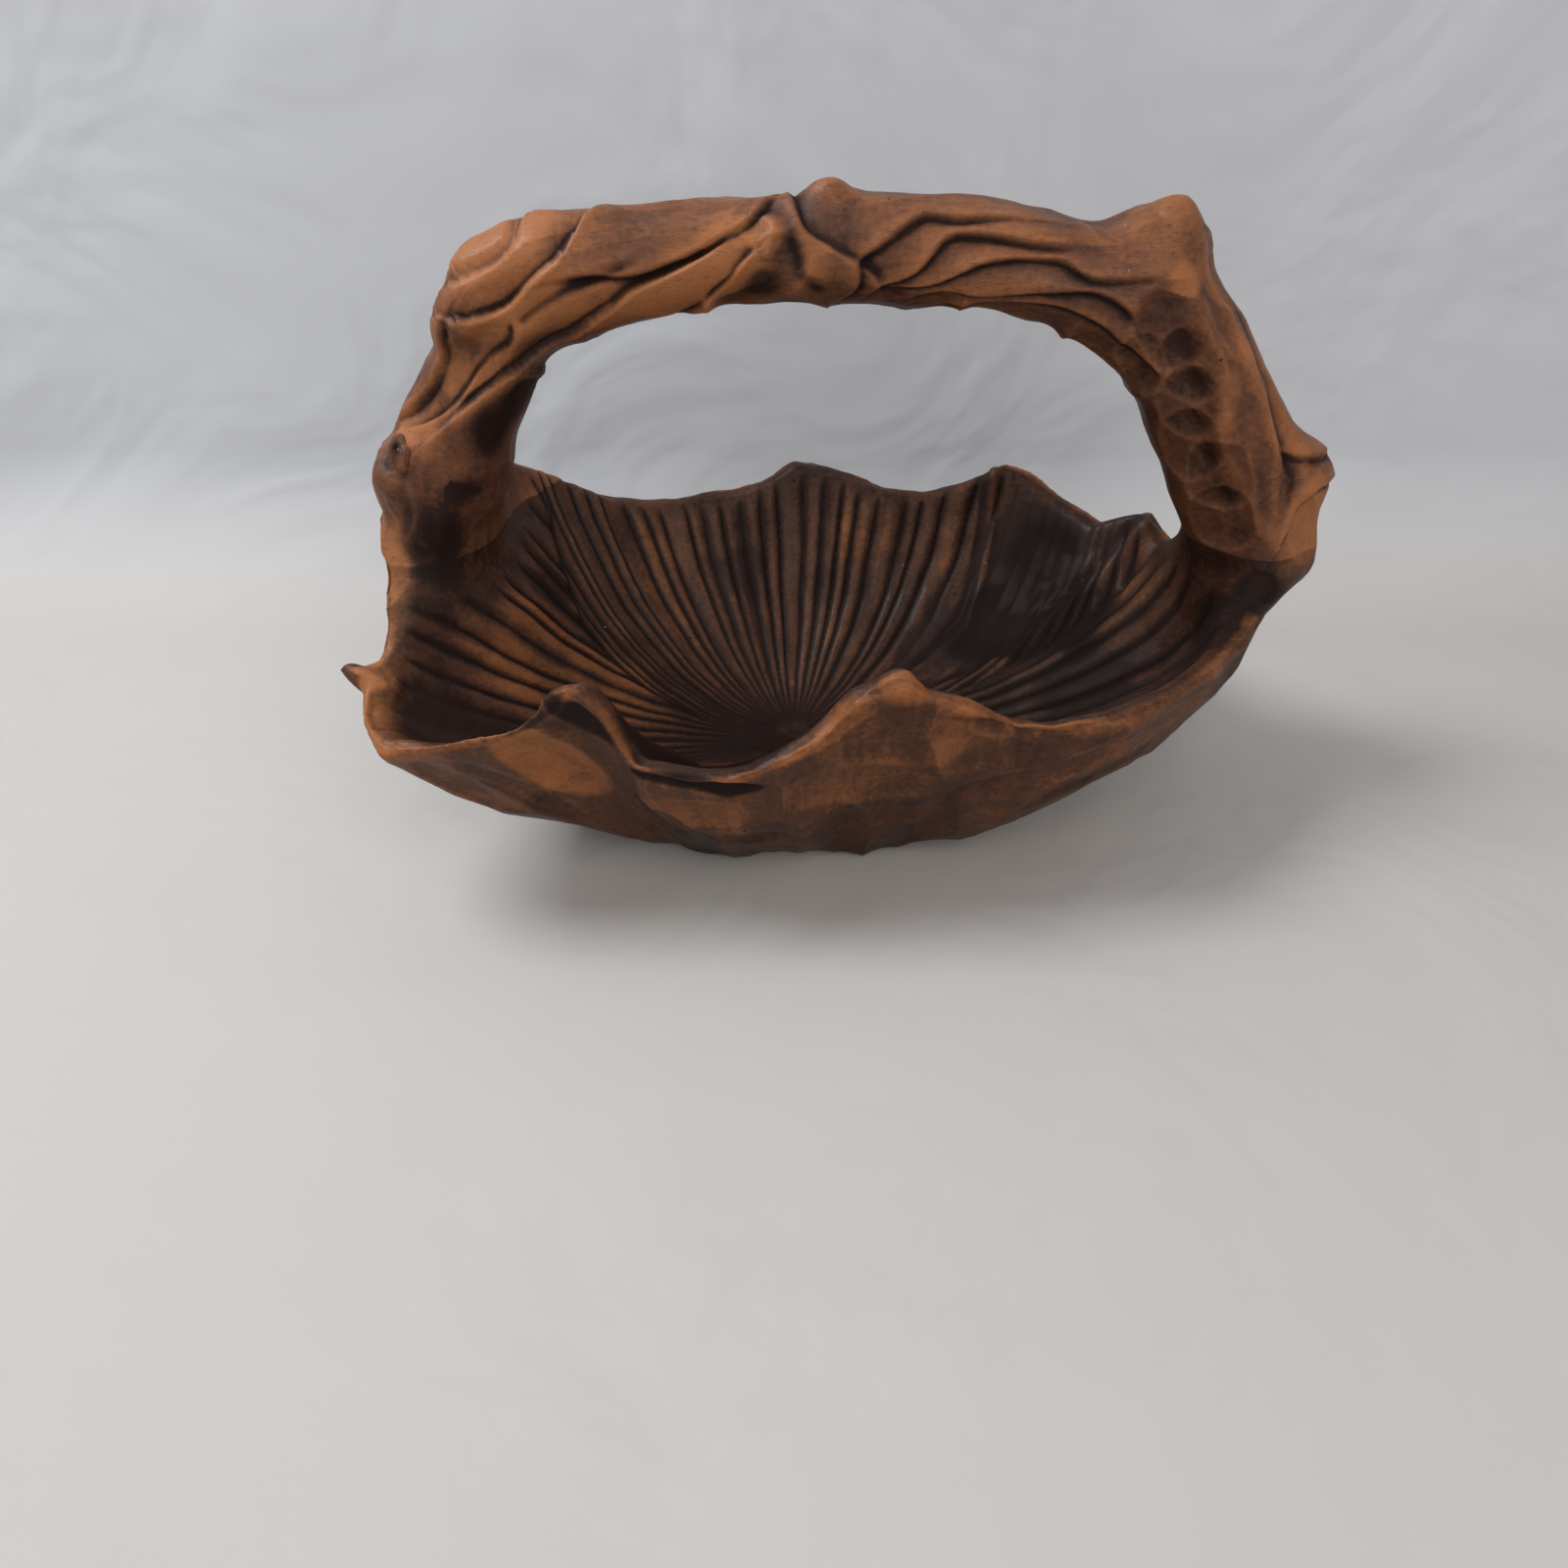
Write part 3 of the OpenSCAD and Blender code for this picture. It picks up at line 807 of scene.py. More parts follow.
def carve_handle(c):
    p = c.p
    near = np.nonzero(p.on_handle > 0.02)[0]
    across = p.turn * np.pi / 180 * GIRTH
    # long cuts all round, climbing to the right
    turns = 7
    u = p.turn / 360 * turns - p.run / 95 + 0.4 * noise(p.points, 45, 41)
    v = p.run / 62 + 0.3 * p.turn / 60
    best, edge, tint, number = gouge_cells(u, v, 43, turns)
    front = ramp(np.abs(p.turn), 95, 70)
    c.add(4.2 * (np.minimum(best, 1.2) - 0.35), p.on_handle * (1 - 0.5 * front))
    c.dark += 0.16 * np.exp(-(edge / 0.09) ** 2) * p.on_handle * (1 - 0.5 * front)
    c.warm += 0.14 * (tint - 0.5) * p.on_handle
    c.tint_by_cut(number, p.on_handle, 0.15)
    # short scallops along the lower front edge
    place = p.run / 38 + 0.45 * wave(p.run / 400, 17, 44)
    part = place - np.floor(place)
    size = np.random.default_rng(45).uniform(0.4, 1.0, 64)[np.floor(place).astype(int) % 64]
    edge_here = ramp(np.abs(p.turn + 82), 62, 22) * ramp(np.abs(p.run), 190, 150) * p.on_handle
    c.add(-2.4 * size * (1 - (2 * part - 1) ** 2), edge_here)
    c.flow[:, 0] += p.on_handle * (across - 0.25 * p.run)
    c.flow[:, 1] += p.on_handle * p.run
    for kind, height, width, line in STROKES:
        carve_stroke(c, kind, height, width, line, near)


def knot_frame(name):
    place, tip, swing, across = KNOTS[name]
    turn = Matrix.Rotation(math.radians(swing), 4, "Z") @ Matrix.Rotation(math.radians(tip), 4, "X")
    return Matrix.Translation(Vector(place)) @ turn, across / 2


def carve_knot_seats(c):
    """A shallow seat and a swollen collar round each knot."""
    for name in KNOTS:
        where, radius = knot_frame(name)
        axis = np.array(where.col[2][:3])
        rel = c.p.points - np.array(where.translation)
        depth = rel @ axis
        away = np.sqrt(np.maximum((rel ** 2).sum(1) - depth ** 2, 0))
        near = ramp(np.abs(depth), 16, 8)
        uneven = 1 + 0.9 * noise(c.p.points, 11, 54)
        c.add(0.7 * uneven * np.exp(-((away - 1.5 * radius) / 4.5) ** 2), near)
        c.add(-0.7 * ramp(away, 1.1 * radius, 0.8 * radius), near)
        c.dark += 0.28 * uneven * np.exp(-((away - radius) / 2.4) ** 2) * near


# Single cuts and tips: [one end, other end, half width, depth, bare wood, stain]. A cut is a
# shallow dish with a crisp edge; with a negative depth it stands up to a point instead.
DISHES = [
    # the petal under the left peak, and the dark bands up to the tip
    [(-109, -106, 94), (-82, -92, 58), 13, 2.6, 0.75, 0],
    [(-118, -107, 96), (-90, -104, 111), 6, 1.8, 0, 0.65],
    [(-92, -103, 112), (-72, -104, 92), 6, 1.8, 0, 0.65],
    [(-94, -101, 112), (-88, -101, 112), 12, -4.2, 0.2, 0],
    # long cuts down the left of the front
    [(-150, -100, 84), (-108, -88, 42), 10, 2.0, 0.05, 0.12],
    [(-132, -104, 84), (-92, -86, 38), 8, 1.8, 0, 0.22],
    [(-82, -100, 66), (-46, -92, 34), 9, 2.2, 0.18, 0.1],
    # the black shelf and the orange patch under it
    [(-66, -111, 81), (-12, -112, 73), 5, 3.4, 0, 0.95],
    [(-60, -104, 56), (-22, -110, 58), 11, 2.2, 0.32, 0],
    [(-40, -100, 40), (-6, -94, 34), 9, 1.8, 0.15, 0.15],
    # the right peak with its light band and its hollow front
    [(-10, -112, 88), (30, -103, 110), 8, 1.8, 0.40, 0], [(14, -104, 92), (66, -98, 92), 17, 4.2, 0.30, 0],
    [(34, -98, 114), (44, -98, 114), 11, -4.6, 0.3, 0], [(0, -106, 66), (52, -96, 62), 14, 2.2, 0.30, 0],
    [(8, -92, 36), (58, -86, 38), 10, 2.0, 0.20, 0],
    # the leaf tip and the broken edge beside it
    [(56, -98, 103), (74, -98, 98), 4, -3.0, 0.3, 0], [(70, -98, 93), (82, -97, 90), 5, 2.0, 0.35, 0.1],
    [(82, -97, 95), (92, -96, 89), 5, 1.6, 0.25, 0], [(92, -95, 92), (108, -94, 88), 6, 1.8, 0.15, 0.1],
    # greyish cuts climbing to the right, and the red edge
    [(66, -92, 52), (124, -92, 78), 9, 2.4, 0.08, 0.12],
    [(84, -86, 40), (148, -80, 72), 9, 2.2, 0.12, 0.05],
    [(124, -90, 78), (168, -62, 84), 8, 2.0, 0.30, 0],
    [(120, -74, 38), (172, -52, 66), 10, 2.2, 0.15, 0.08],
    # the flat nub on the crown and the apex of the right elbow
    [(6, -3, 264), (18, -1, 263), 11, -3.0, 0.1, 0], [(134, 0, 256), (144, 0, 255), 12, -5.0, 0.2, 0],
    [(108, 0, 247), (122, 0, 250), 11, 2.2, 0, 0.1], [(148, -6, 244), (160, -6, 226), 9, 2.2, 0.2, 0],
    # the left leg
    [(-141, 0, 208), (-131, 0, 238), 14, 3.6, 0.1, 0],
    [(-181, -8, 164), (-180, -4, 146), 18, 4.0, 0.15, 0], [(-178, 2, 150), (-172, 2, 132), 13, 2.0, 0.2, 0],
    [(-173, 0, 172), (-162, 0, 190), 13, 2.8, 0.25, 0],
    [(-172, -24, 156), (-170, -26, 140), 9, 2.4, 0.1, 0.1],
    [(-108, -20, 218), (-134, -21, 200), 10, 2.4, 0.35, 0],
    [(-130, -20, 200), (-154, -18, 180), 10, 2.2, 0.35, 0],
    [(-168, -30, 136), (-173, -34, 106), 10, 2.2, 0.35, 0],
    [(-158, -28, 158), (-164, -28, 138), 7, 1.8, 0.15, 0.2],
    # the right leg
    [(150, -14, 240), (170, -14, 208), 9, 2.2, 0.25, 0],
    [(186, -14, 192), (202, -14, 160), 9, 2.4, 0.30, 0],
    [(206, -18, 150), (216, -12, 122), 9, 2.4, 0.35, 0], [(224, 4, 158), (226, 6, 118), 10, 2.4, 0.25, 0],
]


def carve_dishes(c):
    p = c.p
    uneven = 1 + 0.10 * noise(p.points, 13, 55)
    for one, other, width, depth, orange_amount, stain in DISHES:
        one, other = np.array(one, float), np.array(other, float)
        way = other - one
        half = np.linalg.norm(way) / 2
        rel = p.points - (one + other) / 2
        along = rel @ way / (2 * half)
        across = np.sqrt(np.maximum((rel ** 2).sum(1) - along ** 2, 0))
        size = np.hypot(along / (half + 0.5 * width), across / width) * uneven
        shape = np.maximum(1 - size ** 2, 0) if depth > 0 else np.maximum(1 - size, 0)
        c.add(-depth * shape)
        c.warm += 0.62 * orange_amount * ramp(size, 1.12, 0.86)
        c.dark += stain * ramp(size, 1.15, 0.80)


def carve_surface(c):
    """Small unevenness of hand work everywhere."""
    p = c.p
    c.add(0.75 * noise(p.points, 30, 51) + 0.35 * noise(p.points, 12, 52) + 0.12 * noise(p.points, 4.5, 53))


# Bare orange wood, and dark stain that on the inner side of the left leg is also painted shade: [x, y, z,
# reach, amount]
WARM_PLACES = [
    [-110, -16, 236, 24, 0.55], [-88, -10, 246, 20, 0.35], [-128, -22, 198, 16, 0.50],
    [-147, -22, 182, 12, 0.45], [-92, -20, 226, 14, 0.60], [-68, -18, 230, 14, 0.65],
    [-42, -17, 231, 17, 0.85], [-24, -16, 243, 14, 0.75], [-11, -15, 250, 7, 0.55],
    [8, -17, 240, 9, 0.55], [0, -16, 226, 9, 0.40], [28, -12, 252, 12, 0.30],
    [-168, -72, 98, 18, 0.50], [-158, -94, 90, 18, 0.50],
    [-75, -8, 48, 22, 0.30], [-65, -106, 82, 12, 0.30],
    [-32, -109, 60, 20, 0.15], [15, -93, 50, 26, 0.15], [42, -97, 70, 24, 0.25],
    [-118, -18, 80, 30, 0.45], [-88, -6, 58, 24, 0.40], [-54, 37, 48, 26, 0.10],
    [-64, 59, 69, 22, 0.25], [-15, 29, 30, 22, 0.15], [36, 90, 86, 18, 0.30], [77, 88, 76, 16, 0.20],
    [-130, -40, 70, 24, 0.25], [-100, 40, 84, 24, 0.15], [-60, 82, 92, 20, 0.15],
    [171, 51, 95, 14, 0.30], [162, 27, 86, 14, 0.30], [141, -14, 234, 6, 0.80],
    [210, -16, 140, 20, 0.45], [133, -5, 250, 22, 0.30], [174, -58, 86, 18, 0.30],
    [182, -16, 188, 30, 0.35], [205, -18, 156, 22, 0.25], [62, -16, 246, 32, 0.25],
    [-112, -11, 245, 18, 0.40], [-158, -14, 180, 12, 0.35], [-118, -98, 72, 30, 0.42],
    [-74, -96, 94, 12, 0.60], [-172, -30, 132, 22, 0.35], [96, -92, 60, 34, 0.15],
    [12, -2, 262, 10, 0.30], [-30, -6, 252, 24, 0.20], [-177, -6, 156, 14, 0.45],
    [-173, -24, 118, 12, 0.30],
]
DARK_PLACES = [
    [126, 78, 75, 26, 1.1], [140, 36, 59, 28, 1.1], [96, 57, 47, 24, 1.0], [112, 50, 60, 28, 1.1],
    [66, 52, 38, 16, 0.4], [-119, -20, 182, 12, 0.9], [-132, -24, 158, 12, 0.8],
    [-148, -25, 135, 16, 0.8], [-105, -8, 190, 12, 0.6], [-25, 76, 71, 16, 0.5],
    [20, 74, 61, 16, 0.45], [-113, 13, 94, 16, 0.6], [-97, 6, 72, 12, 0.4],
    [134, -5, 52, 30, 0.55], [91, 8, 38, 24, 0.45], [-16, -14, 232, 9, 0.6],
    [197, -16, 105, 16, 0.6], [178, -30, 90, 20, 0.5], [-60, -90, 74, 9, 0.3],
]


def tint_places(c):
    p = c.p
    uneven = 1 + 0.35 * noise(p.points, 14, 61)
    for amount_of, share, places in ((c.warm, 0.72, WARM_PLACES), (c.dark, 1.0, DARK_PLACES)):
        for x, y, z, reach, amount in places:
            away = np.sqrt(((c.middle - (x, y, z)) ** 2).sum(1)) * uneven
            amount_of += share * amount * ramp(away, reach * 1.25, reach * 0.45)


# ---------------------------------------------------------------- pieces

def mesh_with_fields(name, points, quads, fields):
    mesh = bpy.data.meshes.new(name)
    mesh.vertices.add(len(points))
    mesh.vertices.foreach_set("co", (points * MM).astype(np.float32).ravel())
    mesh.loops.add(len(quads) * 4)
    mesh.loops.foreach_set("vertex_index", quads.ravel().astype(np.int32))
    mesh.polygons.add(len(quads))
    mesh.polygons.foreach_set("loop_start", (np.arange(len(quads)) * 4).astype(np.int32))
    mesh.update(calc_edges=True)
    for label, values in fields.items():
        add_field(mesh, label, values)
    return mesh


def open_edges(verts):
    return list({e for v in verts if v.is_valid for e in v.link_edges if len(e.link_faces) == 1})


def close_cut(bm, edges, way):
    """Closes the open edges of a cut with faces that are marked as cap."""
    cap = bm.faces.layers.int.get("cap")
    verts = list({v for e in edges for v in e.verts})
    bmesh.ops.remove_doubles(bm, verts=verts, dist=WELD)
    edges = open_edges(verts)
    if not edges:
        return
    filled = bmesh.ops.triangle_fill(bm, use_beauty=True, use_dissolve=False, edges=edges, normal=Vector(way))
    faces = [f for f in filled["geom"] if isinstance(f, bmesh.types.BMFace)]
    left = open_edges(verts)
    if left:
        faces += bmesh.ops.holes_fill(bm, edges=left, sides=0)["faces"]
    for face in faces:
        if face.is_valid:
            face[cap] = 1


def joined_to(face, limit=None, within=None):
    """The faces that hang together with one face, or None if there are more than limit."""
    found, front = {face}, [face]
    while front:
        for edge in front.pop().edges:
            for other in edge.link_faces:
                if other not in found and (within is None or other in within):
                    found.add(other)
                    front.append(other)
        if limit and len(found) > limit:
            return None
    return found


def faulty_edges(bm):
    return [e for e in bm.edges if len(e.link_faces) != 2]


def made_sound(bm):
    """Closes what a cut left open, takes away flaps and loose bits, and turns all faces out.

    It is not complete: leaf_front_left and twig_stub still come out with a few stray faces.
    """
    cap = bm.faces.layers.int.get("cap")
    bmesh.ops.remove_doubles(bm, verts=bm.verts[:], dist=SAME_PLACE)
    for turn, weld in enumerate(ZIPS):
        bad = faulty_edges(bm)
        if weld and bad:
            bmesh.ops.remove_doubles(bm, verts=list({v for e in bad for v in e.verts}), dist=weld)
        if turn >= RECUT_FROM:
            around = {f for e in faulty_edges(bm) for v in e.verts for f in v.link_faces}
            if around:
                bmesh.ops.delete(bm, geom=list(around), context="FACES")
        corners = {v for f in bm.faces if f[cap] for v in f.verts}
        corners |= {v for e in faulty_edges(bm) for v in e.verts}
        same = {}
        for face in {f for v in corners for f in v.link_faces}:
            same.setdefault(frozenset(face.verts), []).append(face)
        flaps = [f for faces in same.values() if len(faces) > 1 for f in faces[:len(faces) // 2 * 2]]
        if flaps:
            bmesh.ops.delete(bm, geom=flaps, context="FACES")
        crowded = {f for e in bm.edges if len(e.link_faces) > 2 for f in e.link_faces if f[cap]}
        if crowded:
            bmesh.ops.delete(bm, geom=list(crowded), context="FACES_ONLY")
        bmesh.ops.delete(bm, geom=[e for e in bm.edges if not e.link_faces], context="EDGES")
        loose = set()
        for face in [f for f in bm.faces if f[cap] or any(len(e.link_faces) == 1 for e in f.edges)]:
            if face not in loose:
                loose |= joined_to(face, LOOSE_FACES) or set()
        if loose:
            bmesh.ops.delete(bm, geom=list(loose), context="FACES")
        left = [e for e in bm.edges if len(e.link_faces) == 1]
        if left:
            for face in bmesh.ops.holes_fill(bm, edges=left, sides=0)["faces"]:
                face[cap] = 1
        bmesh.ops.triangulate(bm, faces=[f for f in bm.faces if f[cap] and len(f.verts) > 3])
        if not (flaps or crowded or loose or left):
            break
    bmesh.ops.triangulate(bm, faces=[f for f in bm.faces if len(f.verts) > 4])
    bmesh.ops.recalc_face_normals(bm, faces=bm.faces[:])


def keep_side(bm, place, way):
    """Cuts the closed mesh by a plane, keeps what lies against way and closes the cut."""
    geometry = bm.verts[:] + bm.edges[:] + bm.faces[:]
    cut = bmesh.ops.bisect_plane(
        bm, geom=geometry, dist=CUT_SLACK, plane_co=Vector(place) * MM, plane_no=Vector(way),
        clear_outer=True)
    edges = [e for e in cut["geom_cut"] if isinstance(e, bmesh.types.BMEdge)]
    edges = [e for e in edges if e.is_valid and len(e.link_faces) == 1]
    if edges:
        close_cut(bm, edges, way)
    return bm


def cut_copy(bm, planes):
    part = bm.copy()
    for place, way in planes:
        keep_side(part, place, way)
    return part


def finish_piece(name, bm, material):
    """Turns a bmesh into the piece that replaces the CAD node of the same name."""
    made_sound(bm)
    mesh = bpy.data.meshes.new(name + "_skin")
    bm.to_mesh(mesh)
    bm.free()
    corners = values_of(mesh.loops, "vertex_index", 1, np.int32)
    normals = values_of(mesh.attributes["skin_normal"].data, "vector", 3, np.float32)[corners]
    totals = values_of(mesh.polygons, "loop_total", 1, np.int32)
    flat = values_of(mesh.polygons, "normal", 3, np.float32)
    on_cap = np.repeat(values_of(mesh.attributes["cap"].data, "value", 1, np.int32) > 0, totals)
    normals[on_cap] = np.repeat(flat, totals, axis=0)[on_cap]
    mesh.attributes.remove(mesh.attributes["skin_normal"])
    mesh.attributes.remove(mesh.attributes["cap"])
    mesh.shade_smooth()
    mesh.normals_split_custom_set(normals.tolist())
    mesh.materials.append(material)
    register(placed(name + "_skin", mesh), name)


def register(piece, node):
    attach(piece, "root")
    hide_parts(node)


def part_into_pieces(mesh, bowl_wood, handle_wood):
    whole = bmesh.new()
    whole.from_mesh(mesh)
    bpy.data.meshes.remove(mesh)
    whole.faces.layers.int.new("cap")

    twig = cut_off_twig(whole)
    finish_piece("twig_stub", twig, bowl_wood)

    handle = cut_copy(whole, [((0, 0, LEG_CUT), (0, 0, -1))])
    bowl = keep_side(whole, (0, 0, LEG_CUT), (0, 0, 1))

    for k, (x, z, angle) in enumerate(CUTS):
        a = math.radians(angle)
        across = (math.sin(a), 0, -math.cos(a))       # towards the next span
        span = cut_copy(handle, [((x, 0, z), across)])
        finish_piece(SPANS[k], span, handle_wood)
        keep_side(handle, (x, 0, z), tuple(-i for i in across))
    finish_piece(SPANS[-1], handle, handle_wood)

    corners = [(r * math.cos(math.radians(a)), r * math.sin(math.radians(a)), 0) for a, r in SEAMS]
    floor_planes = []
    for k, name in enumerate(LEAVES):
        here, after = SEAMS[k][0], SEAMS[(k + 1) % 6][0]
        a, b = math.radians(here), math.radians(after)
        side = Vector(corners[(k + 1) % 6]) - Vector(corners[k])
        outward = Vector((side.y, -side.x, 0)).normalized()
        planes = [((0, 0, 0), (math.sin(a), -math.cos(a), 0)), ((0, 0, 0), (-math.sin(b), math.cos(b), 0)),
                  (corners[k], tuple(-outward))]
        finish_piece(name, cut_copy(bowl, planes), bowl_wood)
        floor_planes.append((corners[k], tuple(outward)))
    for place, way in floor_planes:
        keep_side(bowl, place, way)
    finish_piece("bowl_floor", bowl, bowl_wood)


def cut_off_twig(bm):
    """Takes the spike off the corner of the rim and gives it back as its own mesh."""
    place = Vector(TWIG_ROOT + 7.5 * TWIG_WAY) * MM
    way = Vector(TWIG_WAY)

    def height(face):
        return (face.calc_center_median() - place).dot(way)

    def near(face):
        rel = face.calc_center_median() - place
        along = rel.dot(way)
        return (rel - along * way).length < 0.012 and along > -0.004

    faces = [f for f in bm.faces if near(f)]
    geometry = list({v for f in faces for v in f.verts}) + list({e for f in faces for e in f.edges}) + faces
    bmesh.ops.bisect_plane(bm, geom=geometry, dist=CUT_SLACK, plane_co=place, plane_no=way)
    beyond = {f for f in bm.faces if near(f) and height(f) > 0}
    spike = joined_to(max(beyond, key=height), within=beyond)
    twig = bm.copy()
    bm.faces.index_update()
    twig.faces.index_update()
    numbers = {f.index for f in spike}
    bmesh.ops.delete(twig, geom=[f for f in twig.faces if f.index not in numbers], context="FACES")
    bmesh.ops.delete(bm, geom=list(spike), context="FACES")
    for part, facing in ((twig, -way), (bm, way)):
        close_cut(part, [e for e in part.edges if len(e.link_faces) == 1], facing)
    return twig


# ---------------------------------------------------------------- knots

def make_knot(name, material):
    """An uneven button of end grain with rings; the right one is hollow and black."""
    where, radius = knot_frame(name)
    hollow = name == "right_knot"
    rings, sides = 26, 72
    seed = 71 if hollow else 72
    verts, dark = [], []
    for i in range(rings + 1):
        share = i / rings
        for k in range(sides):
            a = 2 * math.pi * k / sides
            uneven = 1 + 0.10 * math.sin(2 * a + seed) + 0.06 * math.sin(5 * a + 2 * seed)
            r = radius * 1.02 * share * uneven
            ripple = 0.35 * math.sin(share * 2 * math.pi * 4.5 + 0.6 * math.sin(a)) * share
            if hollow:
                away = math.hypot(r * math.cos(a) - 1.5, r * math.sin(a) + 1.0)
                height = (1.6 * (1 - share ** 3) - 5.5 * math.exp(-(away / 3.0) ** 2)
                          + 0.5 * math.sin(3 * a) * share)
                stain = 0.75 + 0.3 * math.exp(-(away / 4.0) ** 2)
            else:
                away = math.hypot(r * math.cos(a) + 1.2, r * math.sin(a) - 1.6) / radius
                height = (0.6 * (1 - share ** 2) - 1.6 * math.exp(-(away / 0.3) ** 2)
                          + ripple * math.sin(a + 1) ** 2)
                stain = (0.12 + 0.85 * math.exp(-(away / 0.40) ** 2)
                         + 0.10 * math.sin(6.5 * away + 2 * math.sin(a)))
            verts.append(Vector((r * math.cos(a), r * math.sin(a), height - 1.2 * share ** 6)))
            dark.append(stain)
    turns = [(k, (k + 1) % sides) for k in range(sides)]
    faces = [(i * sides + k, (i + 1) * sides + k, (i + 1) * sides + m, i * sides + m)
             for i in range(1, rings) for k, m in turns]
    faces += [(0, sides + k, sides + m) for k, m in turns]
    rim, low = rings * sides, len(verts)
    for edge in verts[rim:low]:
        verts.append(Vector((edge.x * 0.9, edge.y * 0.9, -7)))
        dark.append(1.0)
    faces += [(rim + k, low + k, low + m, rim + m) for k, m in turns]
    faces.append(tuple(low + k for k in range(sides - 1, -1, -1)))
    used = sorted({i for f in faces for i in f})
    number = {old: new for new, old in enumerate(used)}
    mesh = bpy.data.meshes.new(name + "_plug")
    mesh.from_pydata([(where @ verts[i]) * MM for i in used], [], [[number[i] for i in f] for f in faces])
    mesh.shade_smooth()
    stain = np.array([dark[i] for i in used], np.float32)
    flow = np.array([tuple(verts[i]) for i in used])
    for label, values in (("cavity", stain), ("warm", 0.25 * (1 - stain)), ("flow", flow)):
        add_field(mesh, label, values)
    mesh.materials.append(material)
    register(placed(name + "_plug", mesh), name)


# ---------------------------------------------------------------- wood

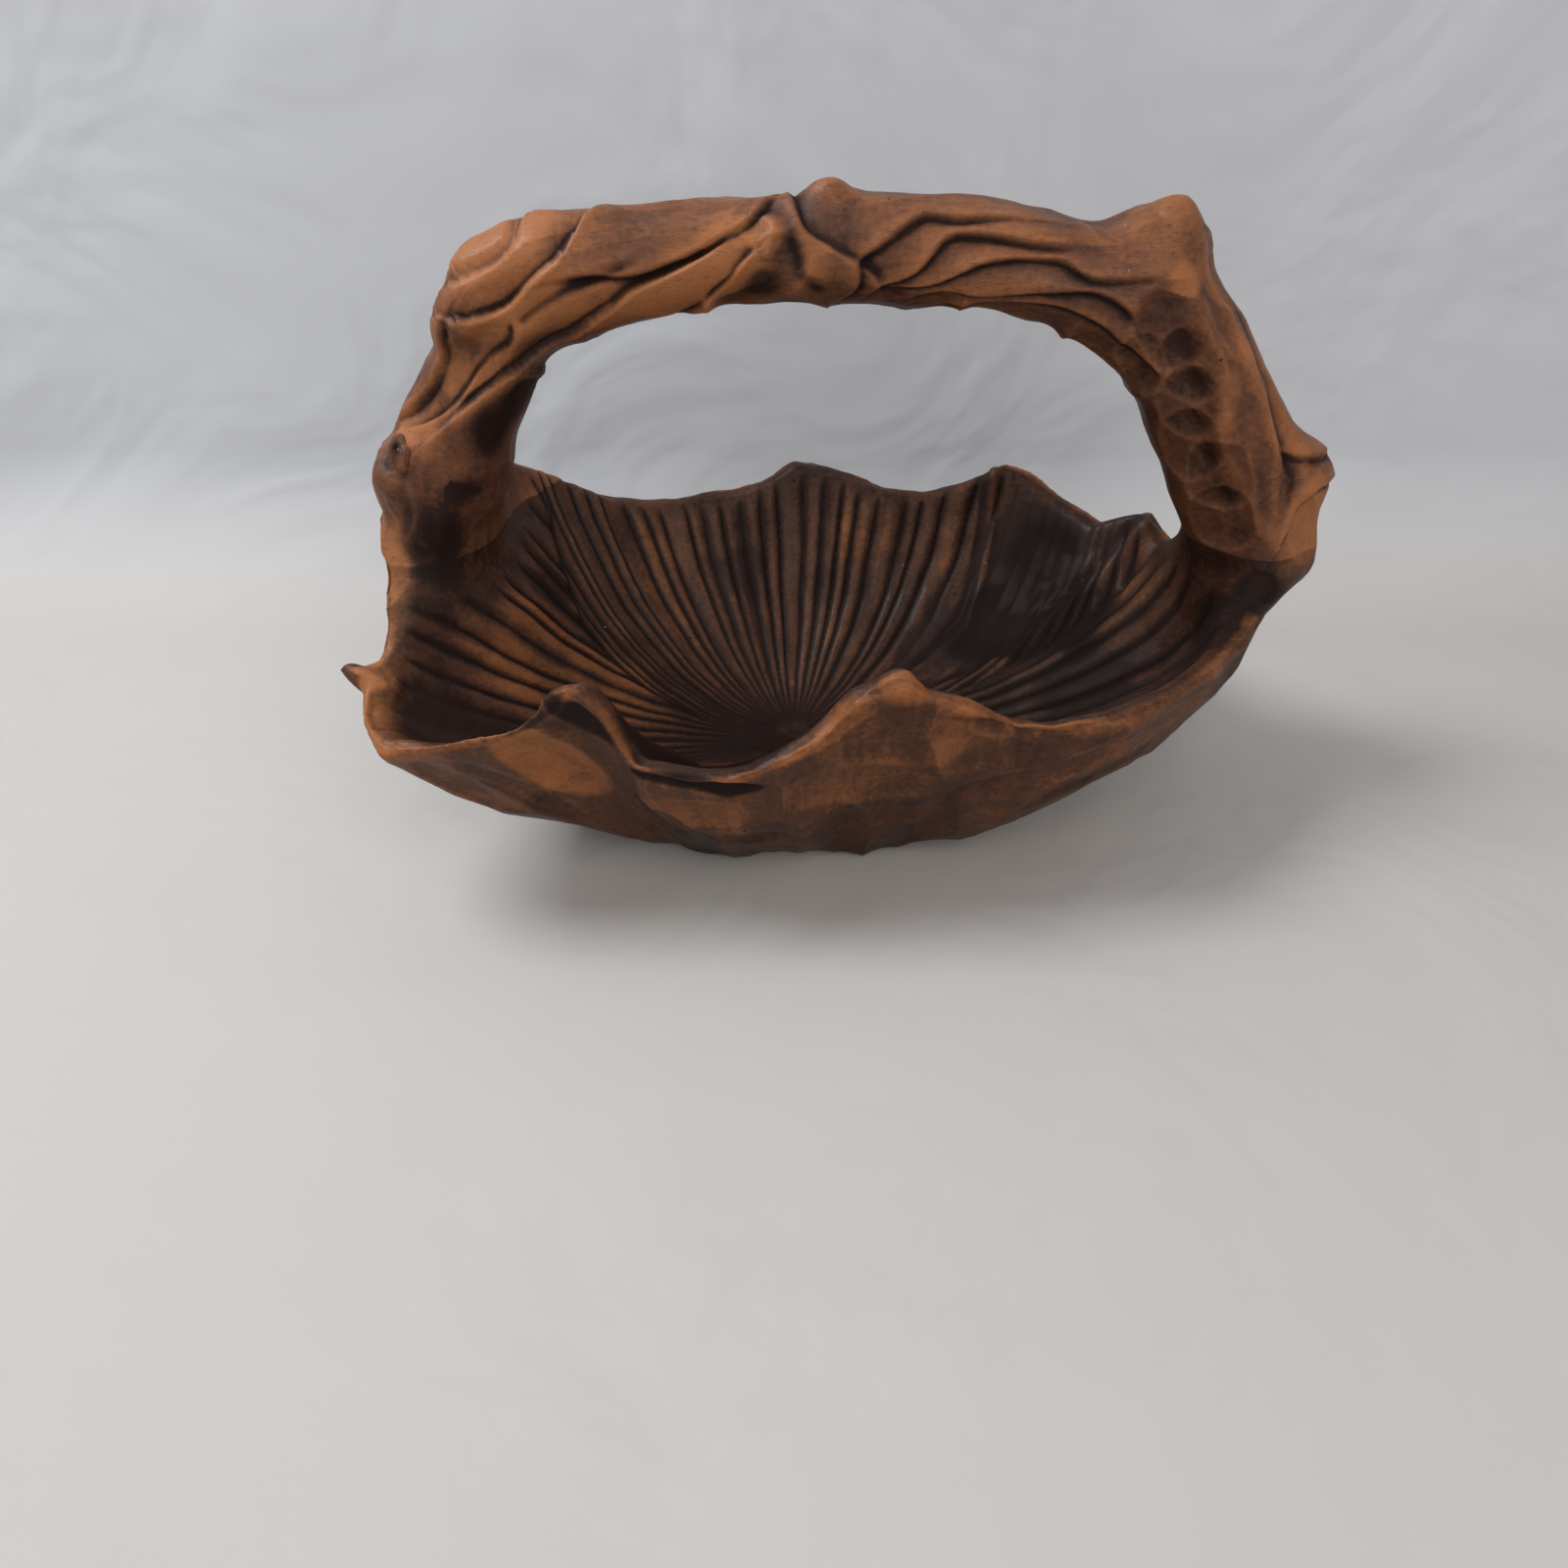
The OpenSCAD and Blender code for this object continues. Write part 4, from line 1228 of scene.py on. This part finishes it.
def wood_material(name, ground, dark, middle, warm):
    """Old stained root wood under a thin satin varnish."""
    n = Nodes(name)
    here = n.new("ShaderNodeTexCoord").outputs["Object"]
    flow = n.attribute("flow").outputs["Vector"]
    # cavity holds stain in the cuts together with painted shade in grooves, hollows and undercuts; warm holds
    # bare wood and wear together with painted highlight on crests
    cavity = n.attribute("cavity").outputs["Fac"]
    orange_amount = n.attribute("warm").outputs["Fac"]

    blotch = n.noise(here, 26, 4, 0.6)
    cloud = n.noise(here, 75, 5, 0.4)
    streak = n.noise(n.scaled(flow, (0.30, 0.035, 1.0)), 1.0, 4, 0.5)
    fibre = n.noise(n.scaled(here, (90, 900, 900)), 1.0, 3, 0.3)
    pores = n.noise(n.scaled(here, (260, 2200, 2200)), 1.0, 2, 0.0)
    pore = n.spread(pores, 0.60, 0.72)
    mottle = n.noise(here, 420, 4, 0.2)

    share = n.math("ADD", orange_amount, ground)
    for pattern, amount in ((blotch, 0.55), (cloud, 0.45), (streak, 0.38), (fibre, 0.22), (mottle, 0.50)):
        share = n.math("ADD", share, n.math("MULTIPLY", n.math("SUBTRACT", pattern, 0.5), amount))
    share = n.math("SUBTRACT", share, n.math("MULTIPLY", cavity, 0.55))

    scale = n.new("ShaderNodeValToRGB")
    n.link(share, scale.inputs["Fac"])
    stops = scale.color_ramp.elements
    stops[0].position, stops[0].color = 0.0, (*dark, 1)
    stops[1].position, stops[1].color = 1.0, (*warm, 1)
    stop = stops.new(0.38)
    stop.color = (*middle, 1)
    stop = stops.new(0.66)
    stop.color = tuple(0.5 * (a + b) for a, b in zip(middle, warm)) + (1,)
    colour = scale.outputs["Color"]

    holes = n.spots(here, 95, 0.075, 0.10)
    dust = n.spots(here, 210, 0.07, 0.018)
    # the first mask darkens the stain and the painted shade to near black
    for mask, amount, tone in (
            (n.spread(cavity, 0.30, 1.05), 0.86, (0.011, 0.006, 0.005, 1)),
            (pore, 0.45, (0.02, 0.009, 0.006, 1)),
            (holes, 0.9, (0.008, 0.005, 0.004, 1)), (dust, 0.7, (0.62, 0.55, 0.47, 1))):
        colour = n.mix(n.math("MULTIPLY", mask, amount), colour, tone)
    n.link(colour, n.shader.inputs["Base Color"])

    rough = n.math("ADD", n.math("MULTIPLY", cloud, 0.30), 0.28)
    rough = n.math("ADD", rough, n.math("MULTIPLY", cavity, 0.42))
    rough = n.math("ADD", rough, n.math("MULTIPLY", pore, 0.15), clamp=True)
    n.link(rough, n.shader.inputs["Roughness"])
    n.shader.inputs["Coat Weight"].default_value = 0.035
    n.shader.inputs["Coat Roughness"].default_value = 0.30
    n.shader.inputs["Specular IOR Level"].default_value = 0.14

    relief = n.math("ADD", n.math("MULTIPLY", fibre, 0.35), n.math("MULTIPLY", cloud, 0.5))
    relief = n.math("SUBTRACT", relief, n.math("MULTIPLY", pore, 0.30))
    relief = n.math("SUBTRACT", relief, holes)
    n.bump(relief, 0.55, 0.0006)
    return n.material


# ---------------------------------------------------------------- making

def carved_skin():
    """The whole carved surface, with its fields, as one mesh."""
    wood, start = fused_block()
    soft = softened_block(wood, start)
    points, quads = skin_of(soft, start)
    edges = edges_of(quads)
    points = relaxed(points, edges, SMOOTHING, 4)
    points, quads, edges = subdivided(points, quads, edges)
    normals = relaxed(normals_of(points, quads), edges, 0.6, 4)
    normals /= np.linalg.norm(normals, axis=1, keepdims=True)

    carving = Carving(Places(points, normals))
    carve_ribs(carving)
    carve_outside(carving)
    carve_rim(carving)
    carve_handle(carving)
    carve_dishes(carving)
    carve_knot_seats(carving)
    carve_surface(carving)
    tint_places(carving)
    carved = points + normals * carving.height[:, None]
    lowest = 0.0
    carved[:, 2] = np.where(points[:, 2] < 3, np.maximum(carved[:, 2], lowest), carved[:, 2])

    skin_normals = normals_of(carved, quads)
    even = relaxed(carved, edges, 0.5, 24)
    hollow = ((even - carved) * skin_normals).sum(1)
    # painted shade: the hollows of the carved skin darken cavity, on top of the stain in the cuts
    cavity = np.clip(carving.dark + 0.55 * hollow, 0, 1.3)
    # painted highlight on convex crests and painted shade in hollows, through warm
    warm = carving.warm + np.clip(-0.16 * hollow, -0.2, 0.16)
    fields = {"cavity": cavity, "warm": warm, "flow": carving.flow, "skin_normal": skin_normals}
    return mesh_with_fields("carved_skin", carved, quads, fields)


make_stage()
make_camera_and_lights()
# Woods: share of bare wood, then the dark, middle and warm colour
WOODS = {
    "bowl_wood": (0.15, (0.024, 0.0110, 0.0080), (0.084, 0.0340, 0.0172), (0.298, 0.107, 0.0360)),
    "handle_wood": (0.36, (0.036, 0.0155, 0.0110), (0.130, 0.0520, 0.0268), (0.330, 0.125, 0.0470)),
    "knot_wood": (0.26, (0.022, 0.010, 0.0075), (0.090, 0.0350, 0.0175), (0.240, 0.0870, 0.0310)),
}
BOWL_WOOD, HANDLE_WOOD, KNOT_WOOD = [wood_material(name, *look) for name, look in WOODS.items()]
part_into_pieces(carved_skin(), BOWL_WOOD, HANDLE_WOOD)
for knot in KNOTS:
    make_knot(knot, KNOT_WOOD)
